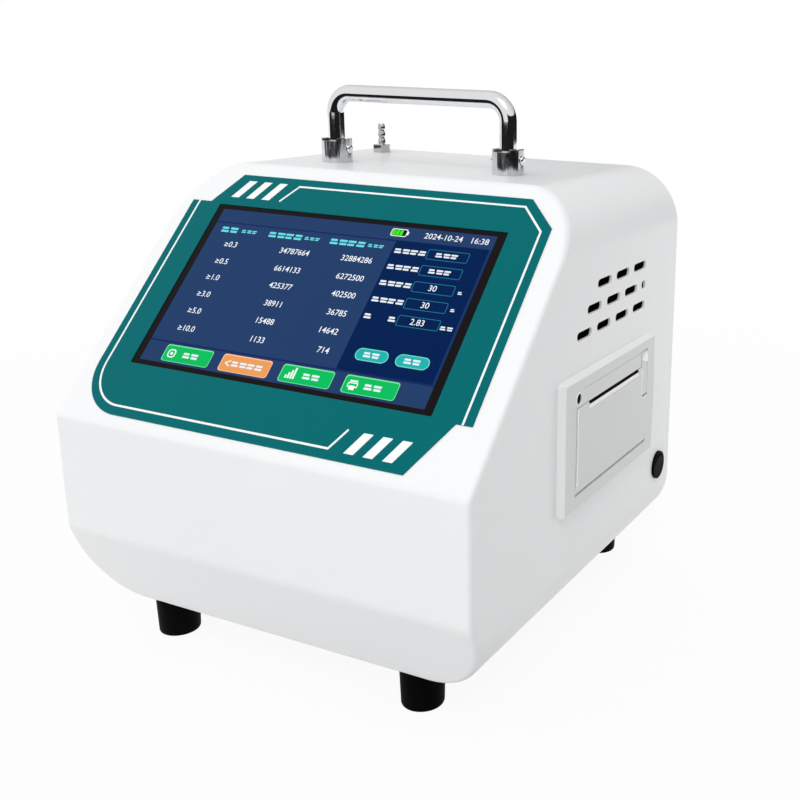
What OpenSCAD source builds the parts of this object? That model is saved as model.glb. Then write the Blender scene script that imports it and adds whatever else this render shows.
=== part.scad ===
// Bench-top airborne particle counter with a folding handle and a side printer.
// Millimetres, +Z up. The origin is on the bench under the middle of the case,
// the front faces -Y and the printer side faces +X.

/* [Case] */
// Width of the case
body_w = 220; // [212:1:250]
// Depth of the case from the front face to the rear edge
body_d = 214; // [210:1:250]
// Height of the case without its feet
body_h = 200; // [196:1:230]
// Radius of the four long corners
corner_r = 30; // [24:1:34]
// Thickness of the steel sheet
wall = 1.2; // [1:0.1:1.6]
// Depth covered by the sloping face
slope_run = 103; // [100:1:110]
// Height of the fold between the front face and the slope
front_top = 93; // [88:1:96]
// Height of the fold at the foot of the front face
chamfer_h = 37.3; // [30:0.1:45]
// Setback of the case floor behind the front face
chamfer_run = 14.3; // [10:0.1:18]
// Thickness of the rear panel
panel_t = 2; // [1.5:0.1:3]
// Gap round the rear panel
panel_gap = 0.3; // [0.1:0.1:1]

/* [Feet] */
// Height of a rubber foot
foot_h = 18; // [14:1:24]
// Radius of a foot where it meets the case
foot_r = 10; // [9:0.1:12]
// How much smaller the foot is at the bench
foot_taper = 0.5; // [0:0.1:1]
// Depth of the screw well in a foot
foot_well = 9; // [6:0.5:11]
// Distance of the front feet in from the case sides
foot_front_side = 40; // [36:1:50]
// Distance of the rear feet in from the case sides
foot_rear_side = 35; // [34:1:50]
// Setback of the front feet behind the front face
foot_front_in = 25; // [24:1:32]
// Setback of the rear feet before the rear edge
foot_rear_in = 15; // [14:1:30]

/* [Vents] */
// Length of a vent slot
vent_l = 15.4; // [12:0.1:17]
// Height of a vent slot
vent_h = 4; // [3:0.1:4.5]
// Pitch of the slots along a row
vent_pitch = 21.2; // [20:0.1:23]
// Pitch of the rows
vent_row = 10.2; // [9:0.1:11]
// Sideways step from one row to the next one up
vent_step = 10.6; // [9:0.1:11]
// Distance of the first slot's centre behind the front face
vent_in = 99; // [95:1:102]
// Height of the lowest row above the case floor
vent_z = 136; // [134:0.5:140]
// Distance behind the front face where the pattern ends
vent_end = 170.4; // [160:0.2:180]

/* [Handle] */
// Distance between the two legs
handle_span = 101; // [96:1:120]
// Setback of the handle behind the top fold
handle_in = 32.5; // [26:0.5:45]
// Height of the grip's centre above the case top
handle_rise = 35; // [32:1:45]
// Radius of the bail's rod
rod_r = 4.2; // [3.5:0.1:4.8]
// Bend radius of the bail
bend_r = 10; // [8:0.5:14]
// Radius of a base
base_r = 7.7; // [7.2:0.1:10]
// Height of a base
base_h = 12; // [11.5:0.5:14]
// Height of the hinge pin above the case top
pin_h = 7; // [6.5:0.1:7.5]
// Radius of the hinge pin
pin_r = 1.5; // [1:0.1:2]

/* [Inlet] */
// Distance of the sampling inlet from the left face of the case
inlet_side = 45; // [44:1:47]
// Setback of the inlet before the rear edge
inlet_in = 19; // [18:1:24]
// Width across flats of a hose fitting
fit_af = 9; // [8:0.5:10]
// Thickness of the fitting's hexagon
fit_hex_t = 4.2; // [3:0.1:5]
// Length of the barbed stem
fit_stem = 12; // [10:0.5:16]
// Radius over the barbs
barb_r = 2.1; // [1.8:0.05:2.3]
// Radius of the air way
air_r = 1; // [0.6:0.1:1.2]
// Outer radius of the air hose
hose_r = 3.4; // [3:0.1:3.6]

/* [Display] */
// Width of the touch glass
glass_w = 165; // [164:1:168]
// Height of the touch glass
glass_h = 100; // [96:1:104]
// Thickness of the touch glass
glass_t = 1.1; // [0.7:0.1:2]
// Width of the window in the film
window_w = 162.5; // [158:0.5:163]
// Height of the window in the film
window_h = 91; // [88:0.5:95]
// Sideways place of the window's centre
window_u = -2; // [-3:0.5:0]
// Distance of the window's centre up the slope
window_v = 76.6; // [75:0.2:78]
// Thickness of the LCD module
lcd_t = 5.5; // [4:0.5:8]
// Thickness of the clamping bracket
bracket_t = 1.5; // [1:0.1:2]
// Thickness of the overlay film
film_t = 0.4; // [0.2:0.1:0.6]
// Width of the overlay film
film_w = 200; // [194:1:204]
// Height of the overlay film
film_h = 136; // [132:1:138]
// Distance of the film's lower edge up the slope
film_v = 4.8; // [4:0.2:7]

/* [Printer] */
// Distance of the printer's centre behind the front face
printer_in = 125; // [120:1:128]
// Height of the printer's centre above the case floor
printer_z = 88; // [86:1:90]
// Width of the printer's face
face_w = 102; // [101:0.5:106]
// Height of the printer's face
face_h = 60; // [59:0.5:63]
// Height of the face's edge above the case side
face_proud = 3.8; // [3.4:0.1:4.4]
// Rise of the curved face at mid height
face_crown = 0.6; // [0.3:0.1:0.8]
// Width of the paper bucket
bucket_w = 94; // [93:0.5:96]
// Height of the paper bucket
bucket_h = 53; // [52:0.5:55]
// Depth of the paper bucket behind the case side
bucket_d = 54; // [53:1:57]
// Wall of the paper bucket
bucket_wall = 2; // [1.5:0.1:2.4]
// Width of the door
door_w = 83; // [82:0.5:84]
// Length of the paper slot
paper_slot = 58.6; // [58:0.1:59]
// Length of the paper roll
paper_w = 57; // [50:1:57.5]
// Radius of the paper roll
paper_r = 18; // [12:0.5:18]
// Radius of the platen roller
platen_r = 4; // [3:0.1:4]
// Number of teeth on the platen gear
gear_teeth = 18; // [16:1:18]
// Number of teeth on the motor pinion
pinion_teeth = 12; // [10:1:12]
// Module of the gear teeth
gear_m = 0.5; // [0.4:0.05:0.5]
// Thickness of the gears
gear_t = 1.6; // [1:0.1:1.8]
// Radius of the feed motor
motor_r = 7; // [6:0.5:7]
// Radius of the feed button
button_r = 2.4; // [1.8:0.1:2.6]
// Travel of the feed button
button_travel = 0.8; // [0.4:0.1:1]

/* [Side switch] */
// Setback of the switch before the rear edge
switch_in = 17.3; // [16:0.1:20]
// Height of the switch above the case floor
switch_z = 40; // [38:1:44]
// Radius of the switch's rim
switch_r = 7.6; // [7.4:0.1:8.5]
// Height of the rim above the case side
switch_proud = 1.5; // [1:0.1:2]
// Depth of the switch behind the case side
switch_d = 17; // [14:0.5:20]
// Tilt of the rocker each side of level
rocker_tilt = 8; // [4:1:9]

/* [Rear] */
// Side of the cooling fan
fan_w = 60; // [56:1:62]
// Depth of the cooling fan
fan_d = 15; // [15:1:20]
// Sideways place of the fan
fan_x = 38; // [30:1:40]
// Height of the fan above the case floor
fan_z = 128; // [124:1:136]
// Distance of the exhaust fitting from the left face of the case
exhaust_side = 86; // [85:1:88]
// Sideways place of the USB socket
usb_x = 14; // [12:1:20]
// Sideways place of the charging socket
socket_x = 46; // [42:1:52]
// Height of the rear sockets above the tray
port_z = 14.3; // [14:0.1:16]

/* [Inside] */
// Height of the chassis tray above the case floor
tray_h = 11.5; // [10:0.5:14]
// Thickness of the chassis tray
tray_t = 1.5; // [1:0.1:2]
// Distance of the chassis tray in from the case sides
tray_side = 32; // [31:1:33]
// Height of the optical sensor block
sensor_h = 41; // [36:1:46]
// Radius of a battery cell
cell_r = 9.2; // [8:0.1:9.5]
// Length of a battery cell
cell_l = 66; // [60:1:68]
// Thickness of the circuit boards
board_t = 1.6; // [1:0.1:2]

/* [Hidden] */
$fn = 64;

// Shared clearances and fastener sizes
merge = 0.2;
seat_gap = 0.1;
run_gap = 0.05;
tight_gap = 0.02;
body_gap = 0.3;
m3_r = 1.5;
m3_hole = 1.7;
m3_head_r = 2.8;
m3_head_t = 1.9;
m3_nut_af = 5.5;
m3_nut_t = 2.4;
m4_r = 2;
m4_hole = 2.2;
m4_head_r = 3.9;
m4_head_t = 2.6;
m4_nut_af = 7;
m4_nut_t = 3.2;
m5_nut_af = 8;
m5_nut_t = 3.5;

// Main planes
floor_z = foot_h;
top_z = floor_z + body_h;
mid_z = floor_z + body_h / 2;
front_y = -body_d / 2;
rear_y = body_d / 2;
floor_in = floor_z + wall;
slope_z = floor_z + front_top;
slope_rise = body_h - front_top;
slope_a = atan2(slope_rise, slope_run);

// Side outline of the case, as [Y, Z]
profile = [
    [front_y + chamfer_run, floor_z],
    [front_y, floor_z + chamfer_h],
    [front_y, slope_z],
    [front_y + slope_run, top_z],
    [rear_y, top_z],
    [rear_y, floor_z]
];
function inward(a, b) = [b[1] - a[1], a[0] - b[0]] / norm(b - a);
function shifted(a, b, c, d) =
    b + d * (inward(a, b) + inward(b, c)) / (1 + inward(a, b) * inward(b, c));
inner_profile = concat(
    [for (i = [0:3]) shifted(profile[(i + 5) % 6], profile[i], profile[i + 1], wall)],
    [[rear_y + merge, top_z - wall], [rear_y + merge, floor_in]]
);

// Rear panel fixings
tab_in = 7;
tab_t = 2;
tab_w = 14;
tab_len = 12;
tab_x = 62;
tab_dz = 50;
rear_spots = concat(
    [for (x = [-tab_x, tab_x]) [x, top_z - wall - tab_in, 90]],
    [for (x = [-tab_x, tab_x]) [x, floor_in + tab_in, -90]],
    [for (z = [mid_z - tab_dz, mid_z + tab_dz]) [body_w / 2 - wall - tab_in, z, 0]],
    [for (z = [mid_z - tab_dz, mid_z + tab_dz]) [-body_w / 2 + wall + tab_in, z, 180]]
);
rear_screw_l = panel_t + tab_t + 2;

// Feet
foot_front_x = body_w / 2 - foot_front_side;
foot_rear_x = body_w / 2 - foot_rear_side;
foot_spots = [
    [-foot_front_x, front_y + foot_front_in],
    [foot_front_x, front_y + foot_front_in],
    [-foot_rear_x, rear_y - foot_rear_in],
    [foot_rear_x, rear_y - foot_rear_in]
];
foot_well_r = 4.8;
foot_screw_l = foot_h - foot_well + wall + m4_nut_t + 1.4;

// Handle
handle_y = front_y + slope_run + handle_in;
hinge_z = top_z + pin_h;
slot_w = 2 * (rod_r + body_gap);
base_front_drop = 1;
base_stud_r = 2.5;
base_stud_l = wall + m5_nut_t + 2;
pin_head_r = 2.2;
pin_head_t = 1.2;

// Hose fittings
inlet_x = -body_w / 2 + inlet_side;
exhaust_x = -body_w / 2 + exhaust_side;
inlet_y = rear_y - inlet_in;
neck_r = barb_r - 0.5;
barb_n = 3;
fit_thread_r = 3;
fit_thread_l = 7;
fit_nut_af = 9;
fit_nut_t = 3;
fit_tail = 8;
hose_bore = barb_r + seat_gap;
nozzle_l = 8;

// Display stack, in slope coordinates
stud_u = 87.5;
stud_v = 40;
stud_r = m3_r;
bracket_z = -glass_t - lcd_t - bracket_t;
stud_l = -bracket_z + m3_nut_t + 1.5;
post_u = 62;
post_v = 34;
post_r = 3;
post_l = 6;
board_z = bracket_z - post_l - board_t;
display_screw_l = board_t + post_l - 1;
film_u = window_u + 0.8;
film_r = 24.5;
film_cut = 14.5;
film_step_l = 17.6;
film_step_r = 25;
film_ear_l = 11.5;
film_ear_r = 7.6;
film_cut_l = 23;
film_cut_r = 21.4;

// Printer, in side coordinates: x to the rear, y up, z out of the case
printer_y = front_y + printer_in;
printer_h = floor_z + printer_z;
flange_edge = 1.5;
flange_r = 3;
face_top = face_proud + face_crown;
crown_n = 6;
skin_z = 1.6;
cavity_w = bucket_w - 2 * bucket_wall;
cavity_h = bucket_h - 2 * bucket_wall;
door_gap = 0.3;
door_low = -24;
door_high = 17.9;
lip_y = 18.2;
barrel_r = 2.1;
hinge_y = door_low + barrel_r;
hinge_out = 1.9;
door_pin_r = 1;
door_back = skin_z + 0.2;
lever_x = door_w / 2 - 6.9;
lever_w = 7;
lever_low = 2.6;
lever_pin_y = 23.6;
lever_pin_z = 2.1;
lever_pin_r = 0.8;
notch_x = lever_x - 1;
notch_y = lever_low - 0.8;
slot_cut = 1.4;
tear_t = 2;
tear_h = 2.2;
tear_proud = 0.7;
boss_l = 3.2;
platen_y = 11;
platen_z = -6;
platen_len = paper_slot + 0.4;
arm_in = platen_len / 2 + 0.4;
arm_t = 2;
arm_boss_r = 3.2;
shaft_r = 1.5;
gear_x = arm_in + arm_t + body_gap;
gear_dist = gear_m * (gear_teeth + pinion_teeth) / 2;
mesh_a = -120;
pinion_y = platen_y + gear_dist * cos(mesh_a);
pinion_z = platen_z + gear_dist * sin(mesh_a);
motor_x = gear_x + gear_t + 1.3;
motor_shaft_r = 1;
motor_l = cavity_w / 2 - seat_gap - motor_x;
roll_y = -cavity_h / 2 + paper_r + body_gap;
roll_z = -bucket_d + bucket_wall + paper_r + body_gap;
core_r = 6;
head_z = platen_z - platen_r - body_gap;
head_t = 2.9;
head_fin_t = 2;
head_fin_h = 4;
head_low = 4;
button_x = 2.5 - door_w / 2;
button_y = cavity_h / 2 - button_r - 0.2;
button_proud = 0.2;
button_gap = 0.15;
button_flange_r = button_r + 0.8;
button_flange_t = 1;
button_board_z = -7;
tact_w = 6;
clamp_w = 20;
clamp_l = 12;
clamp_t = 4;

// Side switch
switch_y = rear_y - switch_in;
switch_h = floor_z + switch_z;
switch_body_r = switch_r - 0.7;
switch_well_r = switch_body_r - 0.7;
switch_well = 5;
rocker_r = switch_well_r - 0.4;
rocker_z = 0.6;
trunnion_r = 0.7;

// Rear panel parts
fan_h = floor_z + fan_z;
fan_duct_r = fan_w / 2 - 1.5;
fan_hole = fan_w / 2 - 5;
fan_hub_r = 11;
fan_blades = 7;
fan_strut_t = 1.6;
fan_pin_r = 1.5;
grille_slot = 4;
grille_pitch = 8;
port_h = floor_in + tray_h + port_z;
usb_d = 14;
usb_proud = 0.4;
usb_wall = 0.5;
usb_tongue_in = 1.5;
usb_tongue_t = 1.6;
usb_flange_h = 10;
usb_flange_t = 1.5;
usb_w = 13.2;
usb_t = 5.8;
usb_flange_w = 28;
usb_screw_x = 10.5;
socket_r = 5.5;
socket_rim_r = 7;
socket_rim_t = 2;
socket_hole_r = 3.2;
socket_d = 12;
socket_nut_af = 14;
socket_nut_t = 2.5;

// Inside
tray_top = floor_in + tray_h;
tray_in = 42;
tray_front = front_y + tray_in;
tray_rear = rear_y - 8;
tray_foot_rear = rear_y - foot_rear_in - 8;
tray_w = body_w - 2 * tray_side;
tray_stud_x = tray_w / 2 - 5;
tray_stud_in = [57, 137];
stud4_l = tray_h + m4_nut_t + 1.5;
sensor_w = 44;
sensor_d = 38;
sensor_x = inlet_x + 9;
sensor_y = tray_rear - sensor_d / 2;
sensor_front = sensor_y - sensor_d / 2;
sensor_left = sensor_x - sensor_w / 2;
det_in = 2;
det_up = 6;
det_w = 24;
det_h = 30;
det_chip = 10;
det_chip_t = 4;
sample_x = exhaust_x - 16;
pump_w = 36;
pump_d = 26;
pump_x = (sample_x + exhaust_x) / 2;
pump_in = 86;
pump_y = front_y + pump_in;
pump_motor_r = 13;
pump_motor_l = 32;
filter_r = 9;
filter_l = 34;
filter_gap = 21;
filter_y = pump_y + pump_d / 2 + filter_gap + filter_l / 2;
battery_side = 33;
battery_x = tray_stud_x - battery_side;
battery_in = 82;
battery_y = front_y + battery_in;
strap_w = 12;
strap_t = 1.2;
standoff_l = 9;
standoff_r = 3;
main_w = 100;
main_h = 75;
main_y = 45;
main_up = 110;
main_z = floor_z + main_up;
module_l = 16;
module_r = 7;
nose_r = 5;
nose_l = 3;
main_hole = 4;
processor_w = 20;
processor_t = 1.6;
driver_at = [12, 6];
driver_size = [14, 10, 1.4];
plug_at = [-42, 20];
plug_size = [24, 9, 8];
coil_at = [16, -30];
coil_size = [18, 14, 10];
can_at = [-36, -24];
can_r = 3;
can_h = 9;
can_pitch = 9;
thread_in = 4;

// ---------- shared shapes ----------
module rounded_rect(w, h, r) {
    square([w - 2 * r, h], center = true);
    square([w, h - 2 * r], center = true);
    for (x = [-1, 1], y = [-1, 1])
        translate([x * (w / 2 - r), y * (h / 2 - r)]) circle(r = r);
}

module slot_2d(l, h) {
    square([l - h, h], center = true);
    for (s = [-1, 1]) translate([s * (l - h) / 2, 0]) circle(d = h);
}

module on_slope() {
    translate([0, front_y, slope_z]) rotate([slope_a, 0, 0]) children();
}

module on_side(y, z) {
    translate([body_w / 2, y, z]) rotate([90, 0, 90]) children();
}

module on_rear(x, z) {
    translate([x, rear_y, z]) rotate([-90, 0, 0]) children();
}

module along_x(x0, l) {
    translate([x0, 0, 0]) rotate([90, 0, 90]) linear_extrude(height = l) children();
}

module rod_x(x0, x1, y, z, r) {
    translate([x0, y, z]) rotate([0, 90, 0]) cylinder(r = r, h = x1 - x0);
}

module hex(af, t) {
    cylinder(r = af / 2 / cos(30), h = t, $fn = 6);
}

module nut(af, t, r) {
    difference() {
        hex(af, t);
        translate([0, 0, -merge]) cylinder(r = r + tight_gap, h = t + 2 * merge);
    }
}

// Pan head screw: the head sits on z = 0 and the shank runs down
module screw(r, l, head_r, head_t) {
    difference() {
        union() {
            rotate_extrude()
                polygon([[0, 0], [head_r, 0], [head_r, head_t / 2], [head_r * 0.7, head_t], [0, head_t]]);
            translate([0, 0, -l]) cylinder(r = r, h = l + merge);
        }
        for (a = [0, 90])
            translate([0, 0, head_t]) rotate(a) cube([head_r * 1.1, head_r / 4, head_t], center = true);
    }
}

// Barbed stem standing on z = 0
module barbs(l) {
    step = l / barb_n;
    rotate_extrude()
        polygon(concat(
            [[0, 0]],
            [for (i = [0:barb_n - 1]) each [
                [neck_r, i * step],
                [neck_r, (i + 0.2) * step],
                [barb_r, (i + 0.3) * step],
                [barb_r - 0.1, (i + 0.6) * step]]],
            [[neck_r, l], [0, l]]
        ));
}

// Bulkhead hose fitting: the hexagon sits on z = 0 and the thread runs down
module hose_fitting() {
    difference() {
        union() {
            hex(fit_af, fit_hex_t);
            translate([0, 0, fit_hex_t - merge]) barbs(fit_stem);
            translate([0, 0, -fit_thread_l]) cylinder(r = fit_thread_r, h = fit_thread_l + merge);
            translate([0, 0, merge - fit_thread_l]) mirror([0, 0, 1]) barbs(fit_tail);
        }
        translate([0, 0, -fit_thread_l - fit_tail - 1])
            cylinder(r = air_r, h = fit_thread_l + fit_tail + fit_hex_t + fit_stem + 2);
    }
}

module hose(l) {
    difference() {
        cylinder(r = hose_r, h = l);
        translate([0, 0, -merge]) cylinder(r = hose_bore, h = l + 2 * merge);
    }
}

function tooth(i, n, m) = let (p = 360 / n, root = m * (n / 2 - 1.2), tip = m * (n / 2 + 0.9)) [
    root * [cos((i - 0.28) * p), sin((i - 0.28) * p)],
    tip * [cos((i - 0.1) * p), sin((i - 0.1) * p)],
    tip * [cos((i + 0.1) * p), sin((i + 0.1) * p)],
    root * [cos((i + 0.28) * p), sin((i + 0.28) * p)]
];

module gear_2d(n, m) {
    polygon([for (i = [0:n - 1]) each tooth(i, n, m)]);
}

// ---------- case ----------
module case_block(inset, rear) {
    translate([0, rear, mid_z]) rotate([90, 0, 0])
        linear_extrude(height = body_d + 2 * merge)
            rounded_rect(body_w - 2 * inset, body_h - 2 * inset, corner_r - inset);
}

module side_prism(points) {
    rotate([90, 0, 90]) translate([0, 0, -body_w / 2])
        linear_extrude(height = body_w) polygon(points);
}

module vent_cut() {
    translate([body_w / 2 - wall - merge, 0, 0]) rotate([90, 0, 90])
        linear_extrude(height = wall + 2 * merge) intersection() {
            for (row = [0:2], col = [0:3])
                translate([
                    front_y + vent_in + row * vent_step + col * vent_pitch,
                    floor_z + vent_z + row * vent_row])
                    slot_2d(vent_l, vent_h);
            translate([front_y, floor_z]) square([vent_end, body_h]);
        }
}

module rear_tab(spot) {
    translate([spot[0], rear_y - panel_t - tab_t, spot[1]]) rotate([0, -spot[2], 0])
        difference() {
            translate([tab_in + wall / 2 - tab_len, 0, -tab_w / 2]) cube([tab_len, tab_t, tab_w]);
            translate([0, -merge, 0]) rotate([-90, 0, 0])
                cylinder(r = m3_r + tight_gap, h = tab_t + 2 * merge);
        }
}

module shell() color("white") {
    difference() {
        intersection() {
            case_block(0, rear_y);
            side_prism(profile);
        }
        intersection() {
            case_block(wall, rear_y + merge);
            side_prism(inner_profile);
        }
        on_slope() translate([window_u, window_v, 0])
            cube([glass_w + 2 * body_gap, glass_h + 2 * body_gap, 4 * wall], center = true);
        vent_cut();
        on_side(printer_y, printer_h)
            cube([bucket_w + 2 * body_gap, bucket_h + 2 * body_gap, 4 * wall], center = true);
        on_side(switch_y, switch_h) translate([0, 0, -2 * wall])
            cylinder(r = switch_body_r + seat_gap, h = 4 * wall);
        for (s = [-1, 1]) translate([s * handle_span / 2, handle_y, top_z - 2 * wall])
            cylinder(r = base_stud_r + seat_gap, h = 4 * wall);
        translate([inlet_x, inlet_y, top_z - 2 * wall])
            cylinder(r = fit_thread_r + seat_gap, h = 4 * wall);
        for (spot = foot_spots) translate([spot[0], spot[1], floor_z - wall])
            cylinder(r = m4_hole, h = 4 * wall);
    }
    for (spot = rear_spots) rear_tab(spot);
    for (u = [-1, 1], v = [-1, 1])
        on_slope() translate([window_u + u * stud_u, window_v + v * stud_v, -stud_l])
            cylinder(r = stud_r, h = stud_l - wall / 2);
    for (x = [-1, 1], y = tray_stud_in)
        translate([x * tray_stud_x, front_y + y, floor_in - wall / 2])
            cylinder(r = m4_r, h = stud4_l + wall / 2);
}

module grille_cut() {
    reach = fan_duct_r - 2;
    for (i = [-3:3])
        translate([0, i * grille_pitch])
            slot_2d(2 * sqrt(pow(reach, 2) - pow(i * grille_pitch, 2)), grille_slot);
}

module rear_panel() color("white") {
    inset = wall + panel_gap;
    difference() {
        translate([0, rear_y, mid_z]) rotate([90, 0, 0]) linear_extrude(height = panel_t)
            rounded_rect(body_w - 2 * inset, body_h - 2 * inset, corner_r - inset);
        for (spot = rear_spots)
            on_rear(spot[0], spot[1]) translate([0, 0, -2 * panel_t]) cylinder(r = m3_hole, h = 4 * panel_t);
        on_rear(fan_x, fan_h) translate([0, 0, -2 * panel_t]) {
            linear_extrude(height = 4 * panel_t) grille_cut();
            for (x = [-1, 1], y = [-1, 1])
                translate([x * fan_hole, y * fan_hole, 0]) cylinder(r = m3_hole, h = 4 * panel_t);
        }
        on_rear(exhaust_x, port_h) translate([0, 0, -2 * panel_t])
            cylinder(r = fit_thread_r + seat_gap, h = 4 * panel_t);
        on_rear(socket_x, port_h) translate([0, 0, -2 * panel_t])
            cylinder(r = socket_r + seat_gap, h = 4 * panel_t);
        on_rear(usb_x, port_h) {
            cube([usb_w + 2 * seat_gap, usb_t + 2 * seat_gap, 4 * panel_t], center = true);
            for (s = [-1, 1]) translate([s * usb_screw_x, 0, -2 * panel_t])
                cylinder(r = m3_hole, h = 4 * panel_t);
        }
    }
}

module rear_screws() color("silver")
    for (spot = rear_spots)
        on_rear(spot[0], spot[1]) screw(m3_r, rear_screw_l, m3_head_r, m3_head_t);

module feet() color([0.08, 0.08, 0.08])
    for (spot = foot_spots) translate([spot[0], spot[1], 0])
        difference() {
            cylinder(r1 = foot_r - foot_taper, r2 = foot_r, h = foot_h);
            translate([0, 0, -merge]) cylinder(r = foot_well_r, h = foot_well + merge);
            cylinder(r = m4_hole, h = foot_h + merge);
        }

module foot_screws() color("silver")
    for (spot = foot_spots) translate([spot[0], spot[1], foot_well]) mirror([0, 0, 1])
        screw(m4_r, foot_screw_l, m4_head_r, m4_head_t);

module foot_nuts() color("silver")
    for (spot = foot_spots) translate([spot[0], spot[1], floor_in]) nut(m4_nut_af, m4_nut_t, m4_r);

// ---------- handle ----------
module bail_half() {
    translate([handle_span / 2, 0, 0]) {
        sphere(r = rod_r);
        cylinder(r = rod_r, h = handle_rise - pin_h - bend_r);
    }
    translate([handle_span / 2 - bend_r, 0, handle_rise - pin_h - bend_r]) rotate([90, 0, 0])
        rotate_extrude(angle = 90) translate([bend_r, 0]) circle(r = rod_r);
    translate([-merge, 0, handle_rise - pin_h]) rotate([0, 90, 0])
        cylinder(r = rod_r, h = handle_span / 2 - bend_r + merge);
}

module handle_bail() color([0.8, 0.82, 0.84])
    translate([0, handle_y, hinge_z]) difference() {
        for (s = [0, 1]) mirror([s, 0, 0]) bail_half();
        for (s = [-1, 1]) translate([s * handle_span / 2 - base_r, 0, 0]) rotate([0, 90, 0])
            cylinder(r = pin_r + run_gap, h = 2 * base_r);
    }

module handle_base() {
    low = pin_h - rod_r - body_gap;
    difference() {
        union() {
            cylinder(r = base_r, h = base_h);
            translate([0, 0, -base_stud_l]) cylinder(r = base_stud_r, h = base_stud_l + merge);
        }
        translate([-slot_w / 2, -rod_r - body_gap, low]) cube([slot_w, 2 * base_r, base_h]);
        translate([-slot_w / 2, -2 * base_r, base_h - base_front_drop])
            cube([slot_w, 2 * base_r, base_h]);
        translate([-2 * base_r, 0, pin_h]) rotate([0, 90, 0])
            cylinder(r = pin_r + tight_gap, h = 4 * base_r);
    }
}

module handle_bases() color([0.8, 0.82, 0.84])
    for (s = [-1, 1]) translate([s * handle_span / 2, handle_y, top_z]) handle_base();

module handle_pins() color("silver")
    for (s = [-1, 1]) translate([s * handle_span / 2, handle_y, hinge_z]) {
        rod_x(-base_r - merge, base_r + merge, 0, 0, pin_r);
        for (m = [0, 1]) mirror([m, 0, 0]) translate([base_r + tight_gap, 0, 0]) rotate([0, 90, 0])
            rotate_extrude()
                polygon([[0, 0], [pin_head_r, 0], [pin_head_r, pin_head_t / 2],
                    [pin_head_r / 2, pin_head_t], [0, pin_head_t]]);
    }

module handle_nuts() color("silver")
    for (s = [-1, 1]) translate([s * handle_span / 2, handle_y, top_z - wall - m5_nut_t])
        nut(m5_nut_af, m5_nut_t, base_stud_r);

// ---------- air path ----------
module inlet_fitting() color("silver")
    translate([inlet_x, inlet_y, top_z]) hose_fitting();

module exhaust_fitting() color("silver")
    on_rear(exhaust_x, port_h) hose_fitting();

module fitting_nuts() color("silver") {
    translate([inlet_x, inlet_y, top_z - wall - fit_nut_t]) nut(fit_nut_af, fit_nut_t, fit_thread_r);
    on_rear(exhaust_x, port_h) translate([0, 0, -panel_t - fit_nut_t])
        nut(fit_nut_af, fit_nut_t, fit_thread_r);
}

module hose_y(x, y0, y1) {
    translate([x, y0, port_h]) rotate([-90, 0, 0]) hose(y1 - y0);
}

module air_hoses() color([0.85, 0.88, 0.9]) {
    low = tray_top + sensor_h + body_gap;
    translate([inlet_x, inlet_y, low]) hose(top_z - fit_thread_l - body_gap - low);
    hose_y(sample_x, pump_y + pump_d / 2 + body_gap, sensor_front - body_gap);
    hose_y(exhaust_x, pump_y + pump_d / 2 + body_gap, filter_y - filter_l / 2 - body_gap);
    hose_y(exhaust_x, filter_y + filter_l / 2 + body_gap, rear_y - fit_thread_l - body_gap);
}

module nozzle_y(x, y, toward) {
    translate([x, y - toward * merge, port_h]) rotate([-90 * toward, 0, 0]) barbs(nozzle_l);
}

// ---------- display ----------
module film_2d() {
    l = film_u - film_w / 2;
    r = film_u + film_w / 2;
    t = film_v + film_h;
    intersection() {
        polygon([
            [l + film_cut_l, t],
            [r - film_cut, t],
            [r, t - film_cut],
            [r, film_v + film_step_r],
            [r - film_ear_r, film_v + film_step_r],
            [r - film_cut_r, film_v],
            [l, film_v],
            [l, t - film_step_l],
            [l + film_ear_l, t - film_step_l]
        ]);
        union() {
            translate([l + film_r, film_v + film_r]) circle(r = film_r);
            translate([l + film_r, film_v]) square([film_w, film_h]);
            translate([l, film_v + film_r]) square([film_w, film_h]);
        }
    }
}

module overlay_film() color([0, 0.44, 0.44])
    on_slope() linear_extrude(height = film_t) difference() {
        film_2d();
        translate([window_u, window_v]) square([window_w, window_h], center = true);
    }

module touch_glass() color([0.05, 0.05, 0.06])
    on_slope() translate([window_u, window_v, -glass_t]) linear_extrude(height = glass_t)
        rounded_rect(glass_w, glass_h, 1.5);

module lcd_module() color([0.6, 0.62, 0.64])
    on_slope() translate([window_u, window_v, -glass_t - lcd_t]) {
        linear_extrude(height = lcd_t) square([glass_w - 5, glass_h - 4], center = true);
        for (s = [-1, 1]) translate([s * 40, 0, -0.6]) linear_extrude(height = 0.8)
            square([30, 40], center = true);
    }

module display_bracket() color([0.7, 0.71, 0.72])
    on_slope() translate([window_u, window_v, bracket_z]) {
        difference() {
            linear_extrude(height = bracket_t) difference() {
                square([2 * stud_u + 12, glass_h + 4], center = true);
                square([2 * post_u - 12, 2 * post_v - 10], center = true);
                for (x = [-1, 1], y = [-1, 1]) translate([x * stud_u, y * stud_v]) circle(r = m3_hole);
            }
        }
        for (x = [-1, 1], y = [-1, 1]) translate([x * post_u, y * post_v, -post_l])
            difference() {
                cylinder(r = post_r, h = post_l + merge);
                translate([0, 0, -merge]) cylinder(r = m3_r + tight_gap, h = post_l);
            }
    }

module display_nuts() color("silver")
    on_slope() for (x = [-1, 1], y = [-1, 1])
        translate([window_u + x * stud_u, window_v + y * stud_v, bracket_z - m3_nut_t])
            nut(m3_nut_af, m3_nut_t, stud_r);

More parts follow.
